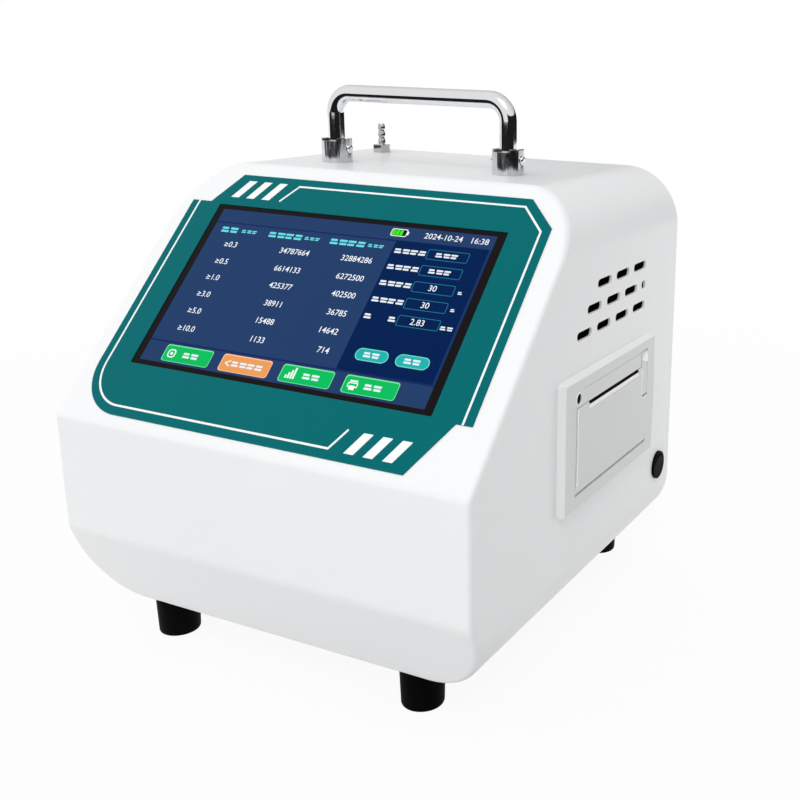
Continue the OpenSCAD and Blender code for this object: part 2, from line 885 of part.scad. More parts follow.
module display_board() color([0.05, 0.35, 0.2])
    on_slope() translate([window_u, window_v, board_z]) difference() {
        union() {
            linear_extrude(height = board_t) square([2 * post_u + 12, 2 * post_v + 12], center = true);
            translate([-30, 5, -1.8]) cube([14, 14, 2]);
            translate([5, -20, -1.4]) cube([22, 10, 2]);
            translate([-55, -30, -6]) cube([18, 8, 7]);
            translate([38, 12, -6]) cube([10, 20, 7]);
        }
        for (x = [-1, 1], y = [-1, 1]) translate([x * post_u, y * post_v, -merge])
            cylinder(r = m3_hole, h = board_t + 2 * merge);
    }

module display_screws() color("silver")
    on_slope() for (x = [-1, 1], y = [-1, 1])
        translate([window_u + x * post_u, window_v + y * post_v, board_z]) mirror([0, 0, 1])
            screw(m3_r, display_screw_l, m3_head_r, m3_head_t);

// ---------- printer ----------
module crown_block() {
    half = face_h / 2 + flange_edge;
    rotate([90, 0, 90]) translate([0, 0, -face_w]) linear_extrude(height = 2 * face_w)
        polygon(concat(
            [[half, -face_top], [-half, -face_top]],
            [for (i = [-crown_n:crown_n]) [i / crown_n * half, face_top - face_crown * pow(i / crown_n, 2)]]
        ));
}

module flange_block() {
    w = face_w + 2 * flange_edge;
    h = face_h + 2 * flange_edge;
    intersection() {
        linear_extrude(height = face_top) rounded_rect(w, h, flange_r);
        rotate([90, 0, 0]) translate([0, 0, -h / 2]) linear_extrude(height = h)
            polygon([[-w / 2, 0], [w / 2, 0], [face_w / 2, face_top], [-face_w / 2, face_top]]);
        rotate([90, 0, 90]) translate([0, 0, -w / 2]) linear_extrude(height = w)
            polygon([[-h / 2, 0], [h / 2, 0], [face_h / 2, face_top], [-face_h / 2, face_top]]);
        crown_block();
    }
}

module door_opening() {
    translate([-door_w / 2 - door_gap, door_low - door_gap])
        square([door_w + 2 * door_gap, lever_low - door_low]);
    translate([-door_w / 2 - door_gap, door_low])
        square([door_w / 2 + door_gap + notch_x, lip_y - door_low]);
    translate([notch_x - merge, door_low])
        square([lever_x + lever_w + door_gap - notch_x + merge, lever_pin_y + barrel_r + door_gap - door_low]);
}

module pin_boss(x0, y, low, high, back) {
    translate([x0, low, back]) cube([boss_l, high - low, skin_z - back + merge]);
}

module printer_frame() color([0.82, 0.83, 0.83])
    on_side(printer_y, printer_h) difference() {
        union() {
            difference() {
                union() {
                    flange_block();
                    translate([-bucket_w / 2, -bucket_h / 2, -bucket_d])
                        cube([bucket_w, bucket_h, bucket_d + merge]);
                }
                translate([-cavity_w / 2, -cavity_h / 2, bucket_wall - bucket_d])
                    cube([cavity_w, cavity_h, bucket_d - bucket_wall + skin_z]);
                translate([0, 0, skin_z - merge]) linear_extrude(height = face_top) door_opening();
            }
            for (x = [-door_w / 2 - door_gap - boss_l, door_w / 2 + door_gap])
                pin_boss(x, hinge_y, -cavity_h / 2 - merge, hinge_y + barrel_r, hinge_out - barrel_r);
            for (x = [lever_x - door_gap - boss_l - 0.7, lever_x + lever_w + door_gap])
                pin_boss(x, lever_pin_y, lip_y + 1.5, cavity_h / 2 + merge, -1);
        }
        translate([lever_x - door_gap, lip_y, -door_gap])
            cube([lever_w + 2 * door_gap, lever_pin_y + barrel_r + door_gap - lip_y, face_top]);
        rod_x(-door_w / 2 - 3, door_w / 2 + 3, hinge_y, hinge_out, door_pin_r + tight_gap);
        rod_x(lever_x - 3.6, lever_x + lever_w + 2.6, lever_pin_y, lever_pin_z, lever_pin_r + tight_gap);
        translate([button_x, button_y, 0]) cylinder(r = button_r + button_gap, h = face_top + 1);
        translate([-35.5, 25.2, face_proud]) cube([69, 0.5, face_top]);
        for (s = [-1, 1]) rod_x(s * bucket_w / 2 - 4, s * bucket_w / 2 + 4, 0, -clamp_l / 2 - wall, m3_r + tight_gap);
    }

module door_plate_2d() {
    difference() {
        translate([-door_w / 2, hinge_y]) square([door_w, door_high - hinge_y]);
        translate([notch_x, notch_y]) square([door_w, door_high]);
        translate([body_gap - paper_slot / 2, door_high - slot_cut])
            square([paper_slot - 2 * body_gap, 2 * slot_cut]);
    }
}

module door_arm() {
    polygon([[0, door_back + merge], [14.5, door_back + merge], [platen_y + 3, platen_z], [platen_y - 3, platen_z]]);
    translate([platen_y, platen_z]) circle(r = arm_boss_r);
}

module printer_door() color([0.84, 0.85, 0.85])
    on_side(printer_y, printer_h) difference() {
        union() {
            intersection() {
                translate([0, 0, door_back]) linear_extrude(height = face_top) door_plate_2d();
                crown_block();
            }
            rod_x(-door_w / 2, door_w / 2, hinge_y, hinge_out, barrel_r);
            for (x = [-arm_in - arm_t, arm_in]) along_x(x, arm_t) door_arm();
        }
        rod_x(-door_w, door_w, hinge_y, hinge_out, door_pin_r + run_gap);
        rod_x(-door_w, door_w, platen_y, platen_z, shaft_r + run_gap);
        translate([-paper_slot / 2, door_high - slot_cut - tear_h, face_top - tear_t + tear_proud])
            cube([paper_slot, 2 * tear_h, 2 * tear_t]);
    }

module tear_bar() color([0.93, 0.93, 0.92])
    on_side(printer_y, printer_h)
        translate([tight_gap - paper_slot / 2, door_high - slot_cut - tear_h + tight_gap, face_top - tear_t + tear_proud])
            rotate([90, 0, 90]) linear_extrude(height = paper_slot - 2 * tight_gap)
                polygon([[0, 0], [tear_h, 0], [tear_h, tear_t - 0.8], [tear_h / 2, tear_t], [0, tear_t - 0.5]]);

module door_pin() color("silver")
    on_side(printer_y, printer_h)
        rod_x(-door_w / 2 - 2.8, door_w / 2 + 2.8, hinge_y, hinge_out, door_pin_r);

module platen_roller() color([0.12, 0.12, 0.12])
    on_side(printer_y, printer_h) difference() {
        rod_x(-platen_len / 2, platen_len / 2, platen_y, platen_z, platen_r);
        rod_x(-platen_len, platen_len, platen_y, platen_z, shaft_r + tight_gap);
    }

module platen_shaft() color("silver")
    on_side(printer_y, printer_h)
        rod_x(-arm_in - arm_t - 0.5, gear_x + gear_t, platen_y, platen_z, shaft_r);

module platen_gear() color([0.9, 0.9, 0.88])
    on_side(printer_y, printer_h) along_x(gear_x, gear_t)
        translate([platen_y, platen_z]) difference() {
            rotate(mesh_a) gear_2d(gear_teeth, gear_m);
            circle(r = shaft_r + tight_gap);
        }

module motor_pinion() color([0.75, 0.65, 0.4])
    on_side(printer_y, printer_h) {
        along_x(gear_x, gear_t) translate([pinion_y, pinion_z])
            rotate(mesh_a + 180 + 180 / pinion_teeth) gear_2d(pinion_teeth, gear_m);
        rod_x(gear_x + gear_t - merge, motor_x + 3, pinion_y, pinion_z, motor_shaft_r);
    }

module feed_motor() color([0.7, 0.71, 0.72])
    on_side(printer_y, printer_h) difference() {
        rod_x(motor_x, motor_x + motor_l, pinion_y, pinion_z, motor_r);
        rod_x(motor_x - 1, motor_x + 3.2, pinion_y, pinion_z, motor_shaft_r + run_gap);
    }

module print_head() color([0.3, 0.31, 0.33])
    on_side(printer_y, printer_h) {
        translate([-paper_w / 2, head_low, head_z - head_t])
            cube([paper_w, cavity_h / 2 - seat_gap - head_low, head_t]);
        translate([-paper_w / 2, cavity_h / 2 - seat_gap - head_fin_t, head_z - head_t - head_fin_h])
            cube([paper_w, head_fin_t, head_fin_h + merge]);
    }

module paper_roll() color("white")
    on_side(printer_y, printer_h) difference() {
        rod_x(-paper_w / 2, paper_w / 2, roll_y, roll_z, paper_r);
        rod_x(-paper_w, paper_w, roll_y, roll_z, core_r);
    }

module release_lever() color([0.84, 0.85, 0.85])
    on_side(printer_y, printer_h) difference() {
        intersection() {
            union() {
                along_x(lever_x, lever_w) {
                    polygon([[lever_low, 1.1], [lever_pin_y, 0], [lever_pin_y, lever_pin_z + barrel_r],
                        [lever_low, face_top]]);
                    translate([lever_pin_y, lever_pin_z]) circle(r = barrel_r);
                }
            }
            crown_block();
        }
        rod_x(lever_x - 1, lever_x + lever_w + 1, lever_pin_y, lever_pin_z, lever_pin_r + run_gap);
        translate([0, 0, lever_pin_z + lever_pin_r + 0.4]) linear_extrude(height = 2)
            polygon([[lever_x, 21.5], [lever_x + lever_w + 1, 26], [lever_x + lever_w + 1, 18.5]]);
    }

module lever_pin() color("silver")
    on_side(printer_y, printer_h)
        rod_x(lever_x - 3.4, lever_x + lever_w + 2.4, lever_pin_y, lever_pin_z, lever_pin_r);

module feed_button() color([0.1, 0.1, 0.1])
    on_side(printer_y, printer_h) translate([button_x, button_y, 0]) {
        low = button_board_z + 3.2 + button_travel + seat_gap;
        translate([0, 0, low]) cylinder(r = button_r, h = face_proud - button_proud - low);
        translate([-button_flange_r, -button_flange_r, skin_z - button_flange_t - seat_gap])
            cube([2 * button_flange_r, button_flange_r + button_r, button_flange_t]);
    }

module button_board() color([0.05, 0.35, 0.2])
    on_side(printer_y, printer_h) {
        low_y = cavity_h / 2 - seat_gap - 18;
        translate([-cavity_w / 2 + seat_gap, low_y, button_board_z - board_t]) cube([12, 18, board_t]);
        translate([button_x - tact_w / 2, cavity_h / 2 - seat_gap - tact_w, button_board_z - merge])
            cube([tact_w, tact_w, 2.4 + merge]);
        translate([button_x, button_y, button_board_z]) cylinder(r = 1.6, h = 3.2);
    }

module clamp_2d() {
    square([clamp_w, clamp_t], center = true);
}

module printer_clamps() color([0.7, 0.71, 0.72])
    on_side(printer_y, printer_h)
        for (s = [-1, 1]) difference() {
            translate([s * (bucket_w / 2 + body_gap + clamp_t / 2), 0, -wall - clamp_l])
                linear_extrude(height = clamp_l) rotate(90) clamp_2d();
            rod_x(s * (bucket_w / 2 + clamp_t / 2) - clamp_t, s * (bucket_w / 2 + clamp_t / 2) + clamp_t,
                0, -clamp_l / 2 - wall, m3_hole);
        }

module clamp_screws() color("silver")
    on_side(printer_y, printer_h)
        for (m = [0, 1]) mirror([m, 0, 0])
            translate([bucket_w / 2 + body_gap + clamp_t, 0, -clamp_l / 2 - wall]) rotate([0, 90, 0])
                screw(m3_r, clamp_t + body_gap + bucket_wall, m3_head_r, m3_head_t);

// ---------- side switch ----------
module switch_body() color([0.06, 0.06, 0.06])
    on_side(switch_y, switch_h) difference() {
        union() {
            cylinder(r = switch_r, h = switch_proud);
            translate([0, 0, -switch_d]) cylinder(r = switch_body_r, h = switch_d + merge);
            for (s = [-1, 1]) translate([s * 3.5 - 0.4, -2.4, -switch_d - 7]) cube([0.8, 4.8, 7 + merge]);
        }
        translate([0, 0, -switch_well]) cylinder(r = switch_well_r, h = 2 * switch_well + switch_proud);
        rod_x(-rocker_r - 0.9, rocker_r + 0.9, 0, rocker_z, trunnion_r + run_gap);
    }

module rocker_2d() {
    intersection() {
        circle(r = rocker_r);
        polygon([[-rocker_r, -2.6], [rocker_r, -2.6], [rocker_r, 1.9], [0, 1.1], [-rocker_r, 1.9]]);
    }
}

module switch_rocker() color([0.1, 0.1, 0.1])
    on_side(switch_y, switch_h) translate([0, 0, rocker_z]) rotate([rocker_tilt, 0, 0]) {
        intersection() {
            along_x(-rocker_r, 2 * rocker_r) rocker_2d();
            translate([0, 0, -rocker_r]) cylinder(r = rocker_r, h = 2 * rocker_r);
        }
        rod_x(-rocker_r - 0.8, rocker_r + 0.8, 0, 0, trunnion_r);
    }

// ---------- rear panel parts ----------
module on_fan() {
    on_rear(fan_x, fan_h) translate([0, 0, -panel_t - fan_d]) children();
}

module fan_frame() color([0.1, 0.1, 0.1])
    on_fan() {
        difference() {
            linear_extrude(height = fan_d) difference() {
                rounded_rect(fan_w, fan_w, 3);
                circle(r = fan_duct_r);
                for (x = [-1, 1], y = [-1, 1]) translate([x * fan_hole, y * fan_hole]) circle(r = m3_r + tight_gap);
            }
        }
        cylinder(r = fan_hub_r, h = fan_strut_t);
        cylinder(r = fan_pin_r, h = fan_d / 2);
        for (a = [30, 150, 270]) rotate(a) translate([fan_hub_r - 1, -1.5, 0])
            cube([fan_duct_r - fan_hub_r + 2, 3, fan_strut_t]);
    }

module fan_rotor() color([0.13, 0.13, 0.13])
    on_fan() difference() {
        union() {
            translate([0, 0, fan_strut_t + body_gap])
                cylinder(r = fan_hub_r, h = fan_d - fan_strut_t - 2 * body_gap - 0.5);
            for (i = [0:fan_blades - 1]) rotate(i * 360 / fan_blades)
                translate([(fan_hub_r + fan_duct_r) / 2 - 1, 0, fan_d / 2 + 0.6]) rotate([40, 0, 0])
                    cube([fan_duct_r - fan_hub_r, 14, 1], center = true);
        }
        cylinder(r = fan_pin_r + run_gap, h = fan_d / 2 + body_gap);
    }

module fan_screws() color("silver")
    on_rear(fan_x, fan_h) for (x = [-1, 1], y = [-1, 1])
        translate([x * fan_hole, y * fan_hole, 0]) screw(m3_r, panel_t + 10, m3_head_r, m3_head_t);

module charge_socket() color([0.1, 0.1, 0.1])
    on_rear(socket_x, port_h) difference() {
        union() {
            cylinder(r = socket_rim_r, h = socket_rim_t);
            translate([0, 0, -socket_d]) cylinder(r = socket_r, h = socket_d + merge);
        }
        translate([0, 0, -socket_d + 2]) cylinder(r = socket_hole_r, h = socket_d + socket_rim_t);
    }

module socket_nut() color("silver")
    on_rear(socket_x, port_h) translate([0, 0, -panel_t - socket_nut_t])
        nut(socket_nut_af, socket_nut_t, socket_r);

module usb_socket() color([0.75, 0.76, 0.77])
    on_rear(usb_x, port_h) {
        difference() {
            union() {
                translate([-usb_w / 2, -usb_t / 2, -usb_d]) cube([usb_w, usb_t, usb_d + usb_proud]);
                translate([-usb_flange_w / 2, -usb_flange_h / 2, -panel_t - usb_flange_t])
                    cube([usb_flange_w, usb_flange_h, usb_flange_t]);
            }
            translate([-usb_w / 2 + usb_wall, -usb_t / 2 + usb_wall, -usb_d + 4 * usb_wall])
                cube([usb_w - 2 * usb_wall, usb_t - 2 * usb_wall, usb_d]);
            for (s = [-1, 1]) translate([s * usb_screw_x, 0, -panel_t - 2 * usb_flange_t])
                cylinder(r = m3_r + tight_gap, h = 3 * usb_flange_t);
        }
        translate([-usb_w / 2 + usb_tongue_in, 0.2, -usb_d + 4 * usb_wall - merge])
            cube([usb_w - 2 * usb_tongue_in, usb_tongue_t, usb_d - 6 * usb_wall]);
    }

module usb_screws() color("silver")
    on_rear(usb_x, port_h) for (s = [-1, 1]) translate([s * usb_screw_x, 0, 0])
        screw(m3_r, panel_t + 2 * usb_flange_t, m3_head_r, m3_head_t);

// ---------- inside ----------
module chassis_tray() color([0.7, 0.71, 0.72])
    difference() {
        union() {
            translate([-tray_w / 2, tray_front, tray_top - tray_t])
                cube([tray_w, tray_rear - tray_front, tray_t]);
            for (s = [-1, 1]) translate([s * (tray_w - tray_t) / 2 - tray_t / 2, tray_front, floor_in])
                cube([tray_t, tray_foot_rear - tray_front, tray_h]);
        }
        for (x = [-1, 1], y = tray_stud_in) translate([x * tray_stud_x, front_y + y, floor_in])
            cylinder(r = m4_hole, h = 2 * tray_h);
    }

module tray_nuts() color("silver")
    for (x = [-1, 1], y = tray_stud_in) translate([x * tray_stud_x, front_y + y, tray_top])
        nut(m4_nut_af, m4_nut_t, m4_r);

module sensor_block() color([0.2, 0.2, 0.22]) {
    difference() {
        union() {
            translate([sensor_left, sensor_front, tray_top]) cube([sensor_w, sensor_d, sensor_h]);
            translate([inlet_x, inlet_y, tray_top + sensor_h - merge]) barbs(nozzle_l);
            nozzle_y(sample_x, sensor_front, -1);
        }
        translate([inlet_x, inlet_y, port_h]) cylinder(r = air_r, h = sensor_h + nozzle_l);
    }
}

module laser_module() color([0.75, 0.65, 0.4])
    translate([sensor_left - module_l, sensor_y, port_h + module_r - 1]) rotate([0, 90, 0]) {
        cylinder(r = module_r, h = module_l);
        translate([0, 0, -nose_l]) cylinder(r = nose_r, h = nose_l + merge);
    }

module detector_module() color([0.05, 0.35, 0.2]) {
    translate([sensor_left + det_in, sensor_front - board_t, tray_top + det_up]) cube([det_w, board_t, det_h]);
    translate([sensor_left + det_in + (det_w - det_chip) / 2, sensor_front - board_t - det_chip_t,
        tray_top + det_up + (det_h - det_chip) / 2]) cube([det_chip, det_chip_t + merge, det_chip]);
}

module pump_head() color([0.25, 0.26, 0.28]) {
    translate([pump_x - pump_w / 2, pump_y - pump_d / 2, tray_top]) cube([pump_w, pump_d, 2 * port_z]);
    nozzle_y(sample_x, pump_y + pump_d / 2, 1);
    nozzle_y(exhaust_x, pump_y + pump_d / 2, 1);
}

module pump_motor() color([0.7, 0.71, 0.72])
    translate([pump_x, pump_y - pump_d / 2, port_h]) rotate([90, 0, 0]) {
        cylinder(r = pump_motor_r, h = pump_motor_l);
        cylinder(r = nose_r, h = pump_motor_l + nose_l);
    }

module filter_capsule() color([0.85, 0.87, 0.9]) {
    translate([exhaust_x, filter_y - filter_l / 2, port_h]) rotate([-90, 0, 0])
        rotate_extrude() polygon([[0, 0], [filter_r - 3, 0], [filter_r, 5], [filter_r, filter_l - 5],
            [filter_r - 3, filter_l], [0, filter_l]]);
    nozzle_y(exhaust_x, filter_y - filter_l / 2, -1);
    nozzle_y(exhaust_x, filter_y + filter_l / 2, 1);
    translate([exhaust_x - 4, filter_y - 6, tray_top]) cube([8, 12, port_z - filter_r + 1]);
}

module battery_2d() {
    w = 6 * cell_r;
    h = 4 * cell_r;
    for (x = [-1, 0, 1], y = [-1, 1]) translate([x * 2 * cell_r, y * cell_r]) circle(r = cell_r);
    square([w - 2 * cell_r, h], center = true);
    square([w, h - 2 * cell_r], center = true);
}

module battery_pack() color([0.1, 0.25, 0.5])
    translate([battery_x, battery_y + cell_l / 2, tray_top + 2 * cell_r]) rotate([90, 0, 0])
        linear_extrude(height = cell_l) battery_2d();

module battery_strap() color([0.7, 0.71, 0.72])
    translate([battery_x, battery_y + strap_w / 2, tray_top]) rotate([90, 0, 0])
        linear_extrude(height = strap_w) {
            w = 3 * cell_r + seat_gap;
            h = 4 * cell_r + seat_gap;
            translate([-w - strap_t, h]) square([2 * (w + strap_t), strap_t]);
            for (m = [0, 1]) mirror([m, 0]) {
                translate([w, 0]) square([strap_t, h + strap_t]);
                translate([w, 0]) square([4, strap_t]);
            }
        }

module on_wall() {
    translate([-body_w / 2 + wall, main_y, main_z]) rotate([90, 0, 90]) children();
}

module board_spots() {
    for (x = [-1, 1], y = [-1, 1])
        translate([x * (main_w / 2 - main_hole), y * (main_h / 2 - main_hole), 0]) children();
}

module main_board() color([0.05, 0.35, 0.2])
    on_wall() translate([0, 0, standoff_l]) difference() {
        union() {
            linear_extrude(height = board_t) square([main_w, main_h], center = true);
            translate([-processor_w, -processor_w / 2, 0]) cube([processor_w, processor_w, board_t + processor_t]);
            translate(driver_at) cube(driver_size + [0, 0, board_t]);
            translate(plug_at) cube(plug_size + [0, 0, board_t]);
            translate(coil_at) cube(coil_size + [0, 0, board_t]);
            for (i = [0:3]) translate(can_at + [can_pitch * i, 0]) cylinder(r = can_r, h = board_t + can_h);
        }
        translate([0, 0, -merge]) board_spots() cylinder(r = m3_hole, h = board_t + 2 * merge);
    }

module board_standoffs() color("silver")
    on_wall() board_spots() difference() {
        cylinder(r = standoff_r, h = standoff_l);
        translate([0, 0, thread_in / 2]) cylinder(r = m3_r + tight_gap, h = standoff_l);
    }

module board_screws() color("silver")
    on_wall() board_spots() translate([0, 0, standoff_l + board_t])
        screw(m3_r, board_t + standoff_l - thread_in, m3_head_r, m3_head_t);

shell();
rear_panel();
rear_screws();
feet();
foot_screws();
foot_nuts();
handle_bail();
handle_bases();
handle_pins();
handle_nuts();
inlet_fitting();
fitting_nuts();
air_hoses();
overlay_film();
touch_glass();
lcd_module();
display_bracket();
display_nuts();
display_board();
display_screws();
printer_frame();
printer_door();
tear_bar();
door_pin();
platen_roller();
platen_shaft();
platen_gear();
motor_pinion();
feed_motor();
print_head();
paper_roll();
release_lever();
lever_pin();
feed_button();
button_board();
printer_clamps();
clamp_screws();
switch_body();
switch_rocker();
fan_frame();
fan_rotor();
fan_screws();
exhaust_fitting();
usb_socket();
usb_screws();
charge_socket();
socket_nut();
chassis_tray();
tray_nuts();
sensor_block();
laser_module();
detector_module();
pump_head();
pump_motor();
filter_capsule();
battery_pack();
battery_strap();
main_board();
board_standoffs();
board_screws();
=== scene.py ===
from math import cos, radians, sin

import bmesh
import bpy
from mathutils import Matrix, Vector


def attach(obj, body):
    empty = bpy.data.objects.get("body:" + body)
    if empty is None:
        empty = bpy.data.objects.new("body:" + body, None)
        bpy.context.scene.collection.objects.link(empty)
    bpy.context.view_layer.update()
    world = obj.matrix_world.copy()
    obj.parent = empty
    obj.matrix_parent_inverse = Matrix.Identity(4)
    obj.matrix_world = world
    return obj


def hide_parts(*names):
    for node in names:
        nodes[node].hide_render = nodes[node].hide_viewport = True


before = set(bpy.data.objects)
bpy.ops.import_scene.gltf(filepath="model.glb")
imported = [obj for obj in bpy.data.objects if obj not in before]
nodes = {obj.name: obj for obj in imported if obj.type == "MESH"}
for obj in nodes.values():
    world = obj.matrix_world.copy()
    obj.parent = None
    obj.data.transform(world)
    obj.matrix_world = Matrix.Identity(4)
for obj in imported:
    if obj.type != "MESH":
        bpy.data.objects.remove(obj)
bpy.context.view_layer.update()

mm = 0.001  # pieces are modelled in millimetres and scaled when they are placed
nothing = Matrix.Identity(4)

caseSizes = {
    "halfWidth": 110, "front": -107, "rear": 107, "floor": 18, "top": 218,
    "corner": 30, "cornerSteps": 18, "sheet": 1.2,
    "foldHeight": 111, "foldDepth": -4, "chamferHeight": 55.3, "chamferDepth": -92.7,
    "bend": 2.2, "bendSteps": 4,
    "footSpots": [(-70, -82), (70, -82), (-75, 92), (75, 92)],
}
sideSpots = {"printer": (18, 106), "switch": (89.7, 58)}  # depth and height on the printer side
slopeTurn = radians(46.0907)
onSlope = (Matrix.Translation((0, caseSizes["front"], caseSizes["foldHeight"]))
           @ Matrix.Rotation(slopeTurn, 4, "X"))


def onSide(depth, height):  # x runs to the rear, y up and z out of the printer side
    return (Matrix.Translation((caseSizes["halfWidth"], depth, height))
            @ Matrix.Rotation(radians(90), 4, "Z") @ Matrix.Rotation(radians(90), 4, "X"))


printerSide = onSide(*sideSpots["printer"])
switchSide = onSide(*sideSpots["switch"])


# tools for modelling in millimetres
def rest():
    if bpy.context.object and bpy.context.object.mode != "OBJECT":
        bpy.ops.object.mode_set(mode="OBJECT")
    bpy.ops.object.select_all(action="DESELECT")


def pick(*pieces):
    rest()
    for piece in pieces:
        piece.select_set(True)
    bpy.context.view_layer.objects.active = pieces[0]


def addBlock(low, high):
    rest()
    bpy.ops.mesh.primitive_cube_add(size=1, location=[(a + b) / 2 for a, b in zip(low, high)])
    piece = bpy.context.object
    piece.scale = [b - a for a, b in zip(low, high)]
    bpy.ops.object.transform_apply(location=True, rotation=True, scale=True)
    return piece


def addRod(radius, low, high, spot=(0, 0), axis="Z", sides=32):
    rest()
    turn = {"Z": (0, 0, 0), "X": (0, radians(90), 0), "Y": (radians(-90), 0, 0)}[axis]
    middle = (low + high) / 2
    place = {"Z": (*spot, middle), "X": (middle, *spot), "Y": (spot[0], middle, spot[1])}[axis]
    bpy.ops.mesh.primitive_cylinder_add(vertices=sides, radius=radius, depth=high - low,
                                        location=place, rotation=turn)
    bpy.ops.object.transform_apply(location=True, rotation=True, scale=True)
    return bpy.context.object


def select(piece, kind, wanted):  # edit mode, with the parts that pass the test selected
    pick(piece)
    bpy.ops.object.mode_set(mode="EDIT")
    bpy.ops.mesh.select_mode(type=kind)
    bpy.ops.mesh.select_all(action="DESELECT")
    mesh = bmesh.from_edit_mesh(piece.data)
    for part in {"VERT": mesh.verts, "EDGE": mesh.edges, "FACE": mesh.faces}[kind]:
        if wanted(part):
            part.select_set(True)
    bmesh.update_edit_mesh(piece.data)


def roundEdges(piece, wanted, radius, steps):
    select(piece, "EDGE", wanted)
    bpy.ops.mesh.bevel(offset=radius, segments=steps, affect="EDGES", clamp_overlap=False)
    bpy.ops.object.mode_set(mode="OBJECT")
    return piece


def runs(edge, axis):
    step = edge.verts[1].co - edge.verts[0].co
    return abs(step[axis]) > 0.999 * step.length


def sliceOff(piece, point, normal):  # removes what lies beyond the plane
    select(piece, "FACE", lambda face: True)
    bpy.ops.mesh.bisect(plane_co=point, plane_no=Vector(normal).normalized(),
                        use_fill=True, clear_outer=True)
    bpy.ops.object.mode_set(mode="OBJECT")
    return piece


def copyPiece(piece, move=(0, 0, 0)):
    pick(piece)
    bpy.ops.object.duplicate(linked=False)
    copy = bpy.context.object
    copy.location = Vector(copy.location) + Vector(move)
    bpy.ops.object.transform_apply(location=True, rotation=True, scale=True)
    return copy


def turnPiece(piece, matrix):
    pick(piece)
    piece.matrix_world = matrix
    bpy.ops.object.transform_apply(location=True, rotation=True, scale=True)
    return piece


def joinPieces(pieces):
    if len(pieces) > 1:
        pick(*pieces)
        bpy.ops.object.join()
    return pieces[0]


def applyModifier(piece, kind, **settings):
    pick(piece)
    modifier = piece.modifiers.new(kind.lower(), kind)
    for key, value in settings.items():
        setattr(modifier, key, value)
    bpy.ops.object.modifier_apply(modifier=modifier.name)
    return piece


def cutOut(piece, *cutters):
    cutter = joinPieces(list(cutters))
    applyModifier(piece, "BOOLEAN", operation="DIFFERENCE", solver="EXACT", object=cutter)
    bpy.data.objects.remove(cutter)
    return piece


def soften(piece, width, steps=2, angle=32):
    return applyModifier(piece, "BEVEL", width=width, segments=steps, limit_method="ANGLE",
                         angle_limit=radians(angle), use_clamp_overlap=True, miter_outer="MITER_ARC")


def copyNode(name):  # a merged copy of a CAD solid, in millimetres
    pick(nodes[name])
    bpy.ops.object.duplicate(linked=False)
    piece = bpy.context.object
    piece.parent = None
    for key in list(piece.keys()):
        if key.startswith("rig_"):
            del piece[key]
    piece.matrix_world = Matrix.Scale(1 / mm, 4)
    bpy.ops.object.transform_apply(location=True, rotation=True, scale=True)
    bpy.ops.object.mode_set(mode="EDIT")
    bpy.ops.mesh.select_all(action="SELECT")
    bpy.ops.mesh.remove_doubles(threshold=0.0005)
    bpy.ops.mesh.dissolve_limited(angle_limit=radians(0.15))
    bpy.ops.object.mode_set(mode="OBJECT")
    return piece


def hand(piece, name, where, body, paint, replaced=(), smooth=32):
    piece.name = piece.data.name = name
    turnPiece(piece, Matrix.Scale(mm, 4) @ where)
    bpy.ops.object.shade_smooth_by_angle(angle=radians(smooth))
    applyModifier(piece, "WEIGHTED_NORMAL", keep_sharp=True)
    piece.data.materials.clear()
    piece.data.materials.append(paint.material)
    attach(piece, body)
    if replaced:
        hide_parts(*replaced)
    print("made", name, len(piece.data.polygons), "faces")
    return piece


# finishes, mixed from shader nodes
class Wire:  # a shader socket that takes part in sums
    def __init__(self, paint, socket):
        self.paint, self.socket = paint, socket

    def sum(self, operation, first, second):
        return self.paint.node("ShaderNodeMath", {"operation": operation}, {0: first, 1: second})

    def __add__(self, other):
        return self.sum("ADD", self, other)

    def __radd__(self, other):
        return self.sum("ADD", other, self)

    def __sub__(self, other):
        return self.sum("SUBTRACT", self, other)

    def __rsub__(self, other):
        return self.sum("SUBTRACT", other, self)

    def __mul__(self, other):
        return self.sum("MULTIPLY", self, other)

    def __rmul__(self, other):
        return self.sum("MULTIPLY", other, self)

    def __gt__(self, other):
        return self.sum("GREATER_THAN", self, other)


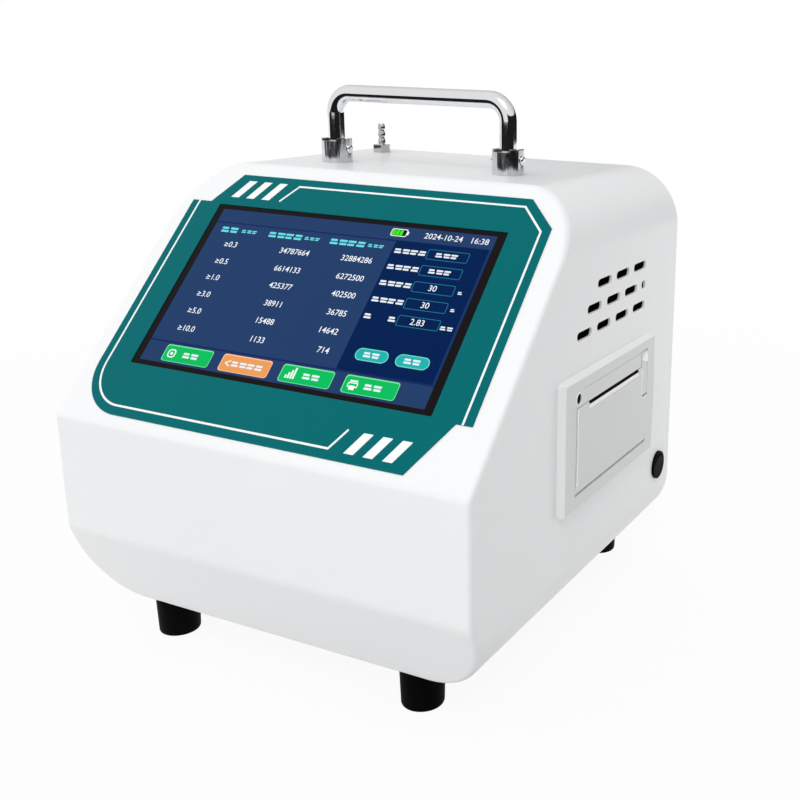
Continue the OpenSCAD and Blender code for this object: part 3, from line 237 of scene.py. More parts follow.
class Paint:
    def __init__(self, name, **fixed):
        self.material = bpy.data.materials.new(name)
        self.material.use_nodes = True
        self.tree = self.material.node_tree
        self.shader = self.tree.nodes["Principled BSDF"]
        self.where = self.node("ShaderNodeTexCoord", output="Object")
        for key, value in fixed.items():
            self.feed(key, value)

    def feed(self, key, value):
        named = {"colour": "Base Color", "roughness": "Roughness", "metal": "Metallic",
                 "coat": "Coat Weight", "coatRoughness": "Coat Roughness", "normal": "Normal",
                 "glow": "Emission Color", "glowLevel": "Emission Strength",
                 "specular": "Specular IOR Level", "scatter": "Subsurface Weight"}
        self.plug(self.shader.inputs[named[key]], value)

    def plug(self, socket, value):
        if isinstance(value, Wire):
            self.tree.links.new(value.socket, socket)
        elif isinstance(value, tuple) and len(value) == 3 and socket.type == "RGBA":
            socket.default_value = (*value, 1)
        else:
            socket.default_value = value

    def node(self, kind, settings=None, inputs=None, output=0):
        made = self.tree.nodes.new(kind)
        for key, value in (settings or {}).items():
            setattr(made, key, value)
        for key, value in (inputs or {}).items():
            self.plug(made.inputs[key], value)
        return None if output is None else Wire(self, made.outputs[output])

    def stretched(self, scale, turn=(0, 0, 0)):
        return self.node("ShaderNodeMapping", {}, {"Vector": self.where, "Scale": scale, "Rotation": turn})

    def noise(self, scale, detail=2.0, where=None):
        inputs = {"Vector": where or self.where, "Scale": scale, "Detail": detail}
        return self.node("ShaderNodeTexNoise", {}, inputs)

    def cells(self, scale):
        return self.node("ShaderNodeTexVoronoi", {}, {"Vector": self.where, "Scale": scale})

    def mix(self, factor, first, second):
        return self.node("ShaderNodeMix", {"data_type": "RGBA"}, {0: factor, 6: first, 7: second}, 2)

    def ray(self, kind):
        return self.node("ShaderNodeLightPath", output="Is " + kind + " Ray")

    def along(self, way, direction):
        return self.node("ShaderNodeVectorMath", {"operation": "DOT_PRODUCT"}, {0: way, 1: direction}, 1)

    def bump(self, height, distance, strength):
        inputs = {"Height": height, "Distance": distance, "Strength": strength}
        self.feed("normal", self.node("ShaderNodeBump", {}, inputs))


def tint(red, green, blue):  # screen values as linear colour
    levels = (red, green, blue)
    return tuple(c / 255 / 12.92 if c <= 10 else ((c / 255 + 0.055) / 1.055) ** 2.4 for c in levels)


def shade(colour, factor):
    return tuple(c * factor for c in colour)


def powderCoat(name, colour):
    paint = Paint(name, coat=0.06, coatRoughness=0.1, specular=0.2)
    broad = paint.noise(14, 3)
    peelWave = paint.noise(620, 2)
    grain = paint.noise(2600, 1)
    paint.feed("colour", paint.mix(broad * 0.6 + grain * 0.4, shade(colour, 0.975), colour))
    paint.feed("roughness", 0.25 + 0.1 * broad + 0.06 * grain)
    paint.bump(peelWave * 0.8 + grain * 0.2, 0.00003, 0.35)
    return paint


def moulded(name, colour, roughness=0.45, grainSize=0.0007, depth=0.00003, **fixed):
    paint = Paint(name, **fixed)
    grain = paint.noise(1 / grainSize, 3)
    patch = paint.noise(35, 2)
    paint.feed("colour", paint.mix(patch * 0.5 + grain * 0.5, shade(colour, 0.93), shade(colour, 1.04)))
    paint.feed("roughness", roughness - 0.06 + 0.12 * grain + 0.06 * patch)
    paint.bump(grain, depth, 0.5)
    return paint


def metalled(name, colour, roughness=0.25, brush=(1, 1, 40), smudge=0.1, depth=0.000006):
    paint = Paint(name, metal=1.0)
    lines = paint.noise(1500, 2, paint.stretched(brush))
    patch = paint.noise(60, 3)
    paint.feed("colour", paint.mix(lines * 0.6 + patch * 0.4, shade(colour, 0.9), shade(colour, 1.05)))
    paint.feed("roughness", roughness + smudge * (patch - 0.5) + 0.08 * (lines - 0.5))
    paint.bump(lines, depth, 0.4)
    return paint


def streaked(name, colour):  # polished casting with upright waves, and upright dark and light streaks painted into its colour as painted reflections
    paint = Paint(name, metal=1.0)
    waves = paint.noise(520, 2, paint.stretched((1, 1, 0.06)))
    paintedStreaks = paint.noise(900, 3, paint.stretched((1, 1, 0.15)))
    # painted reflection: the colour runs from dark to light along upright streaks
    paint.feed("colour", paint.mix(paintedStreaks, shade(colour, 0.5), shade(colour, 1.12)))
    paint.feed("roughness", 0.05 + 0.14 * paintedStreaks)
    paint.bump(waves, 0.0006, 0.8)
    return paint


def circuitBoard(name):
    paint = Paint(name, coat=0.4, coatRoughness=0.15)
    tracks = paint.node("ShaderNodeTexBrick", {}, {
        "Vector": paint.stretched((1, 1, 1), (0.6, 0.4, 0.2)), "Scale": 420.0, "Mortar Size": 0.02,
        "Color1": tint(10, 92, 58), "Color2": tint(8, 84, 52), "Mortar": tint(40, 130, 84)})
    pads = paint.cells(900) > 0.62
    paint.feed("colour", paint.mix(pads, tracks, tint(190, 182, 150)))
    paint.feed("roughness", 0.38 + 0.12 * paint.noise(300, 2))
    paint.bump(paint.noise(900, 2), 0.00004, 0.4)
    return paint


def glowing(name, colour):  # the display's lit pixels
    paint = Paint(name, roughness=0.2, specular=0.03, glowLevel=1.0)
    pixels = paint.noise(1800, 1)
    paint.feed("colour", shade(colour, 0.1))
    paint.feed("glow", paint.mix(pixels, shade(colour, 0.96), shade(colour, 1.04)))
    return paint


paints = {
    "case": powderCoat("casePaint", tint(241, 242, 243)),
    "film": moulded("tealFilm", tint(0, 104, 108), 0.4, 0.0004, 0.000012, specular=0.04),
    "ink": moulded("whiteInk", tint(244, 246, 246), 0.38, 0.0004, 0.000008),
    "glass": moulded("bezelGlass", tint(20, 15, 17), 0.08, 0.002, 0.000001, specular=0.06),
    "printer": moulded("printerPlastic", tint(221, 223, 223), 0.42, 0.0006, 0.00003),
    # the tearing bar's own white, also used for the painted highlights on the door, latch and feed key
    "tearBarAndHighlights": moulded("tearBarAndPaintedHighlights", tint(252, 252, 251), 0.3, 0.001, 0.00001),
    # painted light: a lighter copy of the printer plastic for the lit outer walls of its frame
    "paintedWallLight": moulded("paintedWallLightPlastic", tint(244, 245, 245), 0.38, 0.0008, 0.00002),
    "foam": moulded("filterFoam", tint(6, 6, 7), 0.9, 0.0012, 0.0003, specular=0.0),
    "rubber": moulded("footRubber", tint(7, 7, 8), 0.5, 0.0008, 0.00006, specular=0.03),
    "black": moulded("blackPlastic", tint(8, 8, 9), 0.35, 0.0007, 0.00003, specular=0.012),
    "chrome": metalled("handleChrome", (0.86, 0.87, 0.89), 0.045, (1, 1, 1), 0.03, 0.000001),
    "steel": metalled("fittingSteel", (0.55, 0.55, 0.57), 0.09, (1, 1, 30), 0.05, 0.000002),
    "cast": streaked("polishedCasting", (0.8, 0.81, 0.84)),
    "zinc": metalled("zincPlate", (0.66, 0.67, 0.7), 0.34, (1, 1, 1), 0.2),
    "sheet": metalled("traySheet", (0.64, 0.65, 0.67), 0.4, (30, 1, 1), 0.15, 0.00001),
    "brass": metalled("turnedBrass", (0.78, 0.6, 0.3), 0.3, (1, 1, 30), 0.12),
    "can": metalled("motorCan", (0.68, 0.69, 0.71), 0.3, (20, 1, 1), 0.15),
    "head": metalled("printHead", (0.3, 0.31, 0.33), 0.35, (1, 30, 1), 0.1),
    "anodised": metalled("blackAnodised", (0.07, 0.07, 0.075), 0.38, (1, 1, 1), 0.12),
    "board": circuitBoard("circuitBoard"),
    "hose": moulded("siliconeHose", tint(214, 220, 222), 0.3, 0.001, 0.00001, scatter=0.2),
    "roller": moulded("platenRubber", tint(34, 34, 34), 0.6, 0.0005, 0.00004),
    "gear": moulded("gearPlastic", tint(232, 229, 214), 0.4, 0.0007, 0.00002),
    "paper": moulded("paperRoll", tint(243, 243, 238), 0.7, 0.0003, 0.00003),
    "pump": moulded("pumpPlastic", tint(56, 58, 62), 0.45, 0.0008, 0.00004),
    "filter": moulded("filterPlastic", tint(226, 230, 234), 0.25, 0.001, 0.00001, scatter=0.15),
    "wrap": moulded("batteryWrap", tint(30, 84, 158), 0.22, 0.0015, 0.00004,
                    coat=0.4, coatRoughness=0.1),
}
print("mixed", len(paints), "finishes")

# the case with its rear tabs, studs and openings
tabSizes = {
    "reach": (-4.4, 7.6), "thick": 2, "halfWidth": 7, "bore": 1.52, "round": 2, "roundSteps": 4,
    "depth": 103, "across": 62, "low": 26.2, "high": 209.8, "out": 101.8, "sideHeights": (68, 168),
}


def makeRearTabs():
    t = tabSizes
    inner, outer = t["reach"]
    tab = addBlock((inner, 0, -t["halfWidth"]), (outer, t["thick"], t["halfWidth"]))
    cutOut(tab, addRod(t["bore"], -1, t["thick"] + 1, axis="Y"))
    roundEdges(tab, lambda e: runs(e, 1) and min(v.co.x for v in e.verts) < inner + 0.4,
               t["round"], t["roundSteps"])
    spots = [(side * t["across"], t["high"], 90) for side in (-1, 1)]
    spots += [(side * t["across"], t["low"], -90) for side in (-1, 1)]
    spots += [(side * t["out"], z, 90 - 90 * side) for side in (1, -1) for z in t["sideHeights"]]
    tabs = [turnPiece(copyPiece(tab), Matrix.Translation((x, t["depth"], z))
                      @ Matrix.Rotation(radians(-turn), 4, "Y")) for x, z, turn in spots]
    bpy.data.objects.remove(tab)
    return tabs


displaySizes = {
    "middle": (-2, 76.6), "openingHalf": (82.8, 50.3), "glassHalf": (82.5, 50), "windowHalf": (81.25, 45.5),
    "windowRound": 0.8, "glassThick": 1.1, "glassRound": 1.5, "glassBevel": 0.15,
}
studSizes = {
    "displayRadius": 1.5, "displayReach": (-12, -0.6), "displaySpread": (87.5, 40), "displayRound": 0.4,
    "trayRadius": 2, "trayReach": (18.6, 35.4), "trayAcross": 73, "trayDepths": (-50, 30), "trayRound": 0.5,
}


def aroundDisplay(half, low, high):
    (x, y), (wide, tall) = displaySizes["middle"], half
    return addBlock((x - wide, y - tall, low), (x + wide, y + tall, high))


def makeStuds():
    s = studSizes
    (x, y), (wide, tall) = displaySizes["middle"], s["displaySpread"]
    tip = s["displayReach"][0] + 0.1
    top = s["trayReach"][1] - 0.1
    studs = []
    for side in (-1, 1):
        for rise in (-tall, tall):
            stud = addRod(s["displayRadius"], *s["displayReach"], (x + side * wide, y + rise), sides=20)
            roundEdges(stud, lambda e: max(v.co.z for v in e.verts) < tip, s["displayRound"], 2)
            studs.append(turnPiece(stud, onSlope))
        for depth in s["trayDepths"]:
            stud = addRod(s["trayRadius"], *s["trayReach"], (side * s["trayAcross"], depth), sides=24)
            studs.append(roundEdges(stud, lambda e: min(v.co.z for v in e.verts) > top, s["trayRound"], 2))
    return studs


ventSizes = {
    "length": 15.4, "height": 4, "pitch": 21.2, "row": 10.2, "step": 10.6, "rows": 3, "columns": 4,
    "first": -8, "low": 154, "end": 63.4, "endSteps": 7,
    "filterReach": (106.9, 108.7), "filterBeyond": (5, 6), "filterCuts": 11,
    "filterRim": 0.6, "filterDip": 0.4,
}
openingSizes = {
    "wall": (104, 114), "roof": (214, 221), "base": (15, 22), "slope": (-4, 4),
    "printerHalf": (47.3, 26.8), "switch": 7.0, "handle": 2.6, "handleSpot": (50.5, 28.5),
    "inlet": 3.1, "inletSpot": (-65, 88), "foot": 2.2,
}


def makeVentCutters():
    v, (near, far) = ventSizes, openingSizes["wall"]
    half = v["length"] / 2
    slot = addBlock((near, -half, -v["height"] / 2), (far, half, v["height"] / 2))
    roundEdges(slot, lambda e: runs(e, 0), v["height"] / 2 - 0.02, v["endSteps"])
    cutters = []
    for row in range(v["rows"]):
        for column in range(v["columns"]):
            depth = v["first"] + row * v["step"] + column * v["pitch"]
            if depth - half < v["end"] - 2:
                cutter = copyPiece(slot, (0, depth, v["low"] + row * v["row"]))
                if depth + half > v["end"]:
                    sliceOff(cutter, (0, v["end"], 0), (0, 1, 0))
                cutters.append(cutter)
    bpy.data.objects.remove(slot)
    return cutters


def makeOpenings():
    o, (near, far) = openingSizes, openingSizes["wall"]
    (depth, height), (wide, tall) = sideSpots["printer"], o["printerHalf"]
    x, y = o["handleSpot"]
    cutters = [turnPiece(aroundDisplay(displaySizes["openingHalf"], *o["slope"]), onSlope)]
    cutters.append(addBlock((near, depth - wide, height - tall), (far, depth + wide, height + tall)))
    cutters.append(addRod(o["switch"], near, far, sideSpots["switch"], "X", 48))
    cutters += [addRod(o["handle"], *o["roof"], (side * x, y)) for side in (-1, 1)]
    cutters.append(addRod(o["inlet"], *o["roof"], o["inletSpot"]))
    cutters += [addRod(o["foot"], *o["base"], spot) for spot in caseSizes["footSpots"]]
    return cutters


def makeCaseSkin():
    c = caseSizes
    skin = addBlock((-c["halfWidth"], c["front"], c["floor"]), (c["halfWidth"], c["rear"], c["top"]))
    roundEdges(skin, lambda e: runs(e, 1), c["corner"], c["cornerSteps"])
    sliceOff(skin, (0, c["foldDepth"], c["top"]),
             (0, c["foldHeight"] - c["top"], c["foldDepth"] - c["front"]))
    sliceOff(skin, (0, c["front"], c["chamferHeight"]),
             (0, c["floor"] - c["chamferHeight"], c["front"] - c["chamferDepth"]))
    atRear = c["rear"] - 0.01
    roundEdges(skin, lambda e: e.calc_face_angle(0) > radians(12) and min(v.co.y for v in e.verts) < atRear,
               c["bend"], c["bendSteps"])
    select(skin, "FACE", lambda face: face.calc_center_median().y > atRear)
    bpy.ops.mesh.delete(type="FACE")
    bpy.ops.object.mode_set(mode="OBJECT")
    applyModifier(skin, "SOLIDIFY", thickness=c["sheet"], offset=-1, use_even_offset=True)
    cutOut(skin, *makeVentCutters(), *makeOpenings())
    skin = joinPieces([skin] + makeRearTabs() + makeStuds())
    return hand(skin, "caseSkin", nothing, "case", paints["case"], ["shell"], 34)


makeCaseSkin()

# the film and its print, with x across the slope and y up it
filmSizes = {
    "left": -101.2, "right": 98.8, "low": 4.8, "high": 140.8, "thick": 0.4, "edge": 0.1,
    "round": 24.5, "roundSteps": 20, "corner": 14.5, "notch": (11.5, 17.6), "notchReach": 40,
    "toe": 21.4, "toeSlope": (13.8, 25),
}


def wedge(low, high, point, normal):
    return sliceOff(addBlock(low, high), point, normal)


def makeFilm():
    f = filmSizes
    left, right, low, high, thick = f["left"], f["right"], f["low"], f["high"], f["thick"]
    across, down = f["notch"]
    over, up = f["toeSlope"]
    film = addBlock((left, low, 0), (right, high, thick))
    roundEdges(film, lambda e: runs(e, 2) and e.verts[0].co.x < 0 and e.verts[0].co.y < 60,
               f["round"], f["roundSteps"])
    roundEdges(film, lambda e: runs(e, 2) and e.verts[0].co.x > 0 and e.verts[0].co.y > 60, f["corner"], 1)
    notch = wedge((left - 5, high - down, -1), (left + f["notchReach"], high + 5, 2),
                  (left + across, high - down, 0), (down, -across, 0))
    toe = wedge((right - f["notchReach"], low - 5, -1), (right + 5, low + up, 2),
                (right - f["toe"], low, 0), (-up, over, 0))
    cutOut(film, notch, toe)
    window = aroundDisplay(displaySizes["windowHalf"], -1, 2)
    cutOut(film, roundEdges(window, lambda e: runs(e, 2), displaySizes["windowRound"], 4))
    soften(film, f["edge"], 2, 50)
    return hand(film, "slopeFilm", onSlope, "case", paints["film"], ["overlay_film"], 30)


def ribbon(points, width, low, high):  # a flat line of even width through the points
    points = [Vector(p) for p in points]
    ways = [(b - a).normalized() for a, b in zip(points, points[1:])]
    ends = []
    for i, point in enumerate(points):
        before, after = ways[max(i - 1, 0)], ways[min(i, len(ways) - 1)]
        across = Vector((-(before + after).y, (before + after).x)).normalized()
        reach = width / 2 / max(0.3, across.dot(Vector((-after.y, after.x))))
        ends.append((point + across * reach, point - across * reach))
    rest()
    bpy.ops.mesh.primitive_plane_add(size=1)
    strip = bpy.context.object
    corners = [ends[0][1], ends[1][1], ends[1][0], ends[0][0]]
    verts = strip.data.vertices
    order = sorted(range(4), key=lambda i: (verts[i].co.y, verts[i].co.x))
    for index, corner in zip((order[0], order[1], order[3], order[2]), corners):
        verts[index].co = (corner.x, corner.y, low)
    for (a, b), (lastA, lastB) in zip(ends[2:], ends[1:]):
        select(strip, "EDGE", lambda e: all(min((v.co.xy - lastA).length, (v.co.xy - lastB).length) < 1e-4
                                            for v in e.verts))
        bpy.ops.mesh.extrude_region_move(TRANSFORM_OT_translate={"value": (0, 0, 0.001)})
        mesh = bmesh.from_edit_mesh(strip.data)
        for vert in [v for v in mesh.verts if v.select]:
            target = a if (vert.co.xy - lastA).length < (vert.co.xy - lastB).length else b
            vert.co = (target.x, target.y, low)
        bmesh.update_edit_mesh(strip.data)
    select(strip, "FACE", lambda face: True)
    bpy.ops.mesh.extrude_region_move(TRANSFORM_OT_translate={"value": (0, 0, high - low)})
    bpy.ops.mesh.select_all(action="SELECT")
    bpy.ops.mesh.normals_make_consistent(inside=False)
    bpy.ops.object.mode_set(mode="OBJECT")
    return strip


def arcPoints(centre, radius, start, end, steps):
    return [(centre[0] + radius * cos(radians(start + (end - start) * i / steps)),
             centre[1] + radius * sin(radians(start + (end - start) * i / steps))) for i in range(steps + 1)]


printSizes = {
    "line": 1.0, "thick": 0.03, "barWidth": 4.7, "barPitch": 9.4,
    "upper": [(-49, 126.7), (-41.7, 136.3), (82.3, 136.3), (94.3, 124.0), (94.3, 29.8)],
    "left": -96.7, "leftTop": 123.2, "turn": (-76.7, 29.3), "turnArc": (20, 186, 264, 14),
    "bottom": 9.4, "bottomEnd": 39.3, "tail": (44.9, 19.0),
    "bars": [(-79, 126.8, 10.4, 6.2), (47.2, 8.7, 10.1, 5.5)],  # x, y, height and lean of each first bar
}


def makeFilmPrint():
    p = printSizes
    low, high = filmSizes["thick"], filmSizes["thick"] + p["thick"]
    lower = [(p["left"], p["leftTop"]), (p["left"], p["turn"][1])]
    lower += arcPoints(p["turn"], *p["turnArc"])
    lower += [(p["turn"][0], p["bottom"]), (p["bottomEnd"], p["bottom"]), p["tail"]]
    marks = [ribbon(p["upper"], p["line"], low, high), ribbon(lower, p["line"], low, high)]
    for x, y, tall, lean in p["bars"]:
        bar = addBlock((x, y, low), (x + p["barWidth"], y + tall, high))
        select(bar, "VERT", lambda v: v.co.y > y + 1)
        bpy.ops.transform.translate(value=(lean, 0, 0))
        bpy.ops.object.mode_set(mode="OBJECT")
        marks += [bar, copyPiece(bar, (p["barPitch"], 0, 0)), copyPiece(bar, (2 * p["barPitch"], 0, 0))]
    return hand(joinPieces(marks), "filmPrint", onSlope, "case", paints["ink"])


makeFilm()
makeFilmPrint()

# the display, with its lit fields laid on the glass
screenSizes = {
    "wide": 1024, "tall": 600, "area": (154.08, 85.92), "middle": (-2.33, 76.6), "layer": 0.012,
    "figure": 4.3, "figureLayer": 3, "figureSwell": 0.012,
}


def onScreen(x, y):  # a place in the display's own pixels
    s = screenSizes
    return (s["middle"][0] + (x - s["wide"] / 2) * s["area"][0] / s["wide"],
            s["middle"][1] + (s["tall"] / 2 - y) * s["area"][1] / s["tall"])


def plate(x0, y0, x1, y1, layer, radius=0.0, steps=5):  # a lit field, sized in pixels
    (left, high), (right, low) = onScreen(x0, y0), onScreen(x1, y1)
    rise = screenSizes["layer"]
    piece = addBlock((left, low, layer * rise), (right, high, (layer + 0.8) * rise))
    if radius:
        roundEdges(piece, lambda e: runs(e, 2), min(radius, (high - low) / 2 - 0.01), steps)
    return piece


def frameLine(x0, y0, x1, y1, layer, radius, line=2.2):
    outer = plate(x0, y0, x1, y1, layer, radius)
    (left, high), (right, low) = onScreen(x0 + line, y0 + line), onScreen(x1 - line, y1 - line)
    inner = addBlock((left, low, -1), (right, high, 1))
    if radius:
        roundEdges(inner, lambda e: runs(e, 2), radius * 0.7, 5)
    return cutOut(outer, inner)


def figure(words, x, y, align="CENTER"):
    s = screenSizes
    rest()
    bpy.ops.object.text_add()
    text = bpy.context.object
    text.data.body = words
    text.data.size = s["figure"]
    text.data.align_x = align
    text.data.align_y = "CENTER"
    text.data.extrude = s["layer"] * 0.4
    text.data.offset = s["figureSwell"]
    text.data.resolution_u = 3
    bpy.ops.object.convert(target="MESH")
    text = bpy.context.object
    text.location = (*onScreen(x, y), s["figureLayer"] * s["layer"])
    bpy.ops.object.transform_apply(location=True, rotation=True, scale=True)
    return text


dashSizes = {
    "gap": 4, "above": 0.36, "pitch": 0.42, "thick": 0.28, "indent": 0.1, "short": 0.85, "round": 0.25,
}


def tokens(x, y, count, size, layer):  # pairs of dashes where a label would stand
    d = dashSizes
    strokes = []
    for i in range(count):
        left = x + i * (size + d["gap"])
        odd = i % 2
        ends = (0.0, 1.0), (d["indent"] * odd, d["short"] + (1 - d["short"]) * odd)
        for line, (start, end) in enumerate(ends if i % 3 else reversed(ends)):
            top = y + size * (line * d["pitch"] - d["above"])
            strokes.append(plate(left + size * start, top, left + size * end, top + size * d["thick"],
                                 layer, d["round"], 3))
    return strokes


def makeGlass():
    d = displaySizes
    glass = aroundDisplay(d["glassHalf"], -d["glassThick"], 0)
    roundEdges(glass, lambda e: runs(e, 2), d["glassRound"], 5)
    roundEdges(glass, lambda e: e.calc_face_angle(0) > radians(60), d["glassBevel"], 2)
    return hand(glass, "screenGlass", onSlope, "case", paints["glass"], ["touch_glass"])


screenTints = {
    "screenGround": (20, 38, 92), "screenTable": (33, 60, 102), "screenPanel": (0, 31, 79),
    "screenEdge": (24, 50, 100), "greenRims": (120, 224, 150), "greenButtons": (8, 183, 92),
    "orangeRim": (252, 190, 150), "orangeButton": (227, 152, 88), "pillRims": (110, 214, 196),
    "pillButtons": (34, 171, 168), "valueBoxes": (30, 118, 146), "screenFigures": (240, 244, 248),
    "screenLabels": (226, 234, 240), "screenHeads": (104, 214, 222), "buttonIcons": (240, 250, 244),
    "batteryOutline": (235, 245, 240), "batteryGround": (10, 30, 30), "batteryCells": (60, 230, 30),
}
screenFields = {  # layer, then left, top, right and low edges in the display's own pixels
    "screenGround": (1, [(0, 0, 1024, 600)]),
    "screenTable": (2, [(0, 0, 1024, 51), (0, 56, 695, 521), (0, 527, 1024, 600)]),
    "screenPanel": (2, [(696, 51, 1016, 521)]),
    "screenEdge": (2, [(1016, 51, 1024, 521)]),
}
screenPlan = {  # in the display's own pixels
    "boxSpan": (820, 961), "boxTops": (71, 131, 191, 252, 313), "boxTall": 38, "boxRound": 0.9,
    "rows": (139, 207, 271, 337, 402, 469),
    "classAt": 103, "classShift": 6, "classes": ("≥0.3", "≥0.5", "≥1.0", "≥3.0", "≥5.0", "≥10.0"),
    "countAt": 413, "counts": ("34787664", "6614133", "425377", "38911", "15488", "1133"),
    "totalAt": 647, "totals": ("32884286", "6272500", "402500", "36785", "14642", "714"),
    "valueAt": 888, "values": (("30", 210), ("30", 271), ("2.83", 332)),
    "statusAt": 25, "statusWords": (("2024-10-24", 850), ("16:38", 973)),
    # left, middle height, count and size of each row of dashes
    "panelLabels": [(706, y, 4, 24) for y in (90, 150, 210, 271)]
    + [(706, 332, 1, 24), (790, 332, 1, 24), (850, 90, 3, 22), (850, 150, 3, 22)],
    "buttonLabels": [(152, 563, 2, 26), (340, 563, 4, 25), (812, 563, 2, 26),
                     (600, 563, 2, 26), (763, 461, 2, 24), (899, 461, 2, 24)],
    "unitLabels": [(974, 214, 1, 14), (974, 275, 1, 14), (966, 338, 2, 18)],
    "headLabels": [(36, 82, 2, 30), (228, 82, 4, 29), (466, 82, 4, 29),
                   (118, 82, 3, 17), (368, 82, 3, 16), (606, 82, 3, 16)],
}


def screenPart(pieces, name):
    paint = glowing(name + "Light", tint(*screenTints[name]))
    return hand(joinPieces(pieces), name, onSlope, "case", paint, smooth=20)


def allTokens(rows, layer=3):
    return [stroke for row in rows for stroke in tokens(*row, layer)]


buttonRows = [  # rims, faces, their spans, top and low edge, margins of the faces, roundings and steps
    ("greenRims", "greenButtons", [(77, 259), (520, 702), (741, 921)], (532, 592), (3, 4, 2, 2), (1.4, 1.2), 5),
    ("orangeRim", "orangeButton", [(298, 480)], (532, 592), (3, 4, 2, 2), (1.4, 1.2), 5),
    ("pillRims", "pillButtons", [(735, 846), (871, 982)], (440, 482), (3, 3, 3, 3), (3.0, 2.6), 8),
]


def makeButtons():
    for rims, faces, spans, (top, low), (left, above, right, below), (outer, inner), steps in buttonRows:
        screenPart([plate(a, top, b, low, 3, outer, steps) for a, b in spans], rims)
        screenPart([plate(a + left, top + above, b - right, low - below, 4, inner, steps)
                    for a, b in spans], faces)


def makeBoxes():
    p = screenPlan
    left, right = p["boxSpan"]
    boxes = [frameLine(left, top, right, top + p["boxTall"], 3, p["boxRound"]) for top in p["boxTops"]]
    screenPart(boxes, "valueBoxes")


def makeFigures():
    p = screenPlan
    marks = [figure(words, p["classAt"] + (p["classShift"] if len(words) > 4 else 0), y)
             for words, y in zip(p["classes"], p["rows"])]
    for column, words in (("countAt", "counts"), ("totalAt", "totals")):
        marks += [figure(count, p[column], y, "RIGHT") for count, y in zip(p[words], p["rows"])]
    marks += [figure(words, p["valueAt"], y) for words, y in p["values"]]
    marks += [figure(words, x, p["statusAt"]) for words, x in p["statusWords"]]
    screenPart(marks, "screenFigures")
    labels = allTokens(p["panelLabels"]) + allTokens(p["buttonLabels"], 5) + allTokens(p["unitLabels"])
    screenPart(labels, "screenLabels")
    screenPart(allTokens(p["headLabels"]), "screenHeads")


iconPlan = {  # left, top, right and low edges in the display's own pixels
    "chartBar": (540, 567, 546, 578), "chartStep": 9, "chartBars": 4,
    "dialRim": (92, 548, 122, 578), "dialMiddle": (102, 558, 112, 568),
    "printerTop": (760, 548, 786, 554), "printerBody": (756, 556, 790, 572),
    "printerSlip": (764, 566, 782, 580),
    "arrow": (316, 561, 334, 565), "arrowMiddle": 325, "arrowSpread": 1.4,
    "batteryRim": (664, 8, 722, 37), "batteryTip": (722, 16, 727, 29), "batteryInside": (667, 11, 719, 34),
    "cell": (669, 13, 680, 32), "cellStep": 13, "cells": 3,
}


def makeIcons():
    p, layer = iconPlan, 5
    left, top, right, low = p["chartBar"]
    steps = [p["chartStep"] * i for i in range(p["chartBars"])]
    icons = [plate(left + step, top - step, right + step, low, layer) for step in steps]
    icons += [frameLine(*p["dialRim"], layer, 1.6, 4), plate(*p["dialMiddle"], layer, 0.6)]
    icons += [plate(*p["printerTop"], layer), frameLine(*p["printerBody"], layer, 0.4, 3),
              plate(*p["printerSlip"], layer)]
    for tilt in (-1, 1):
        stroke = plate(*p["arrow"], layer)
        select(stroke, "VERT", lambda v: v.co.x > onScreen(p["arrowMiddle"], 0)[0])
        bpy.ops.transform.translate(value=(0, tilt * p["arrowSpread"], 0))
        bpy.ops.object.mode_set(mode="OBJECT")
        icons.append(stroke)
    screenPart(icons, "buttonIcons")


def makeBattery():
    p = iconPlan
    left, top, right, low = p["cell"]
    steps = [p["cellStep"] * i for i in range(p["cells"])]
    screenPart([frameLine(*p["batteryRim"], 4, 1.0, 3), plate(*p["batteryTip"], 4)], "batteryOutline")
    screenPart([plate(*p["batteryInside"], 3)], "batteryGround")
    screenPart([plate(left + step, top, right + step, low, 4, 0.2) for step in steps], "batteryCells")


makeGlass()
for name, (layer, spots) in screenFields.items():
    screenPart([plate(*spot, layer) for spot in spots], name)
makeButtons()
makeBoxes()
makeFigures()
makeIcons()
makeBattery()
print("drew the display")

# the carrying handle
bailSizes = {
    "rod": 4.2, "half": 50.5, "depth": 28.5, "pin": 225, "bar": 253, "bend": 10,
    "sides": 40, "bendSteps": 16, "pinBore": 1.55, "pinReach": 8, "footFlat": 0.15, "footSteps": 8,
}


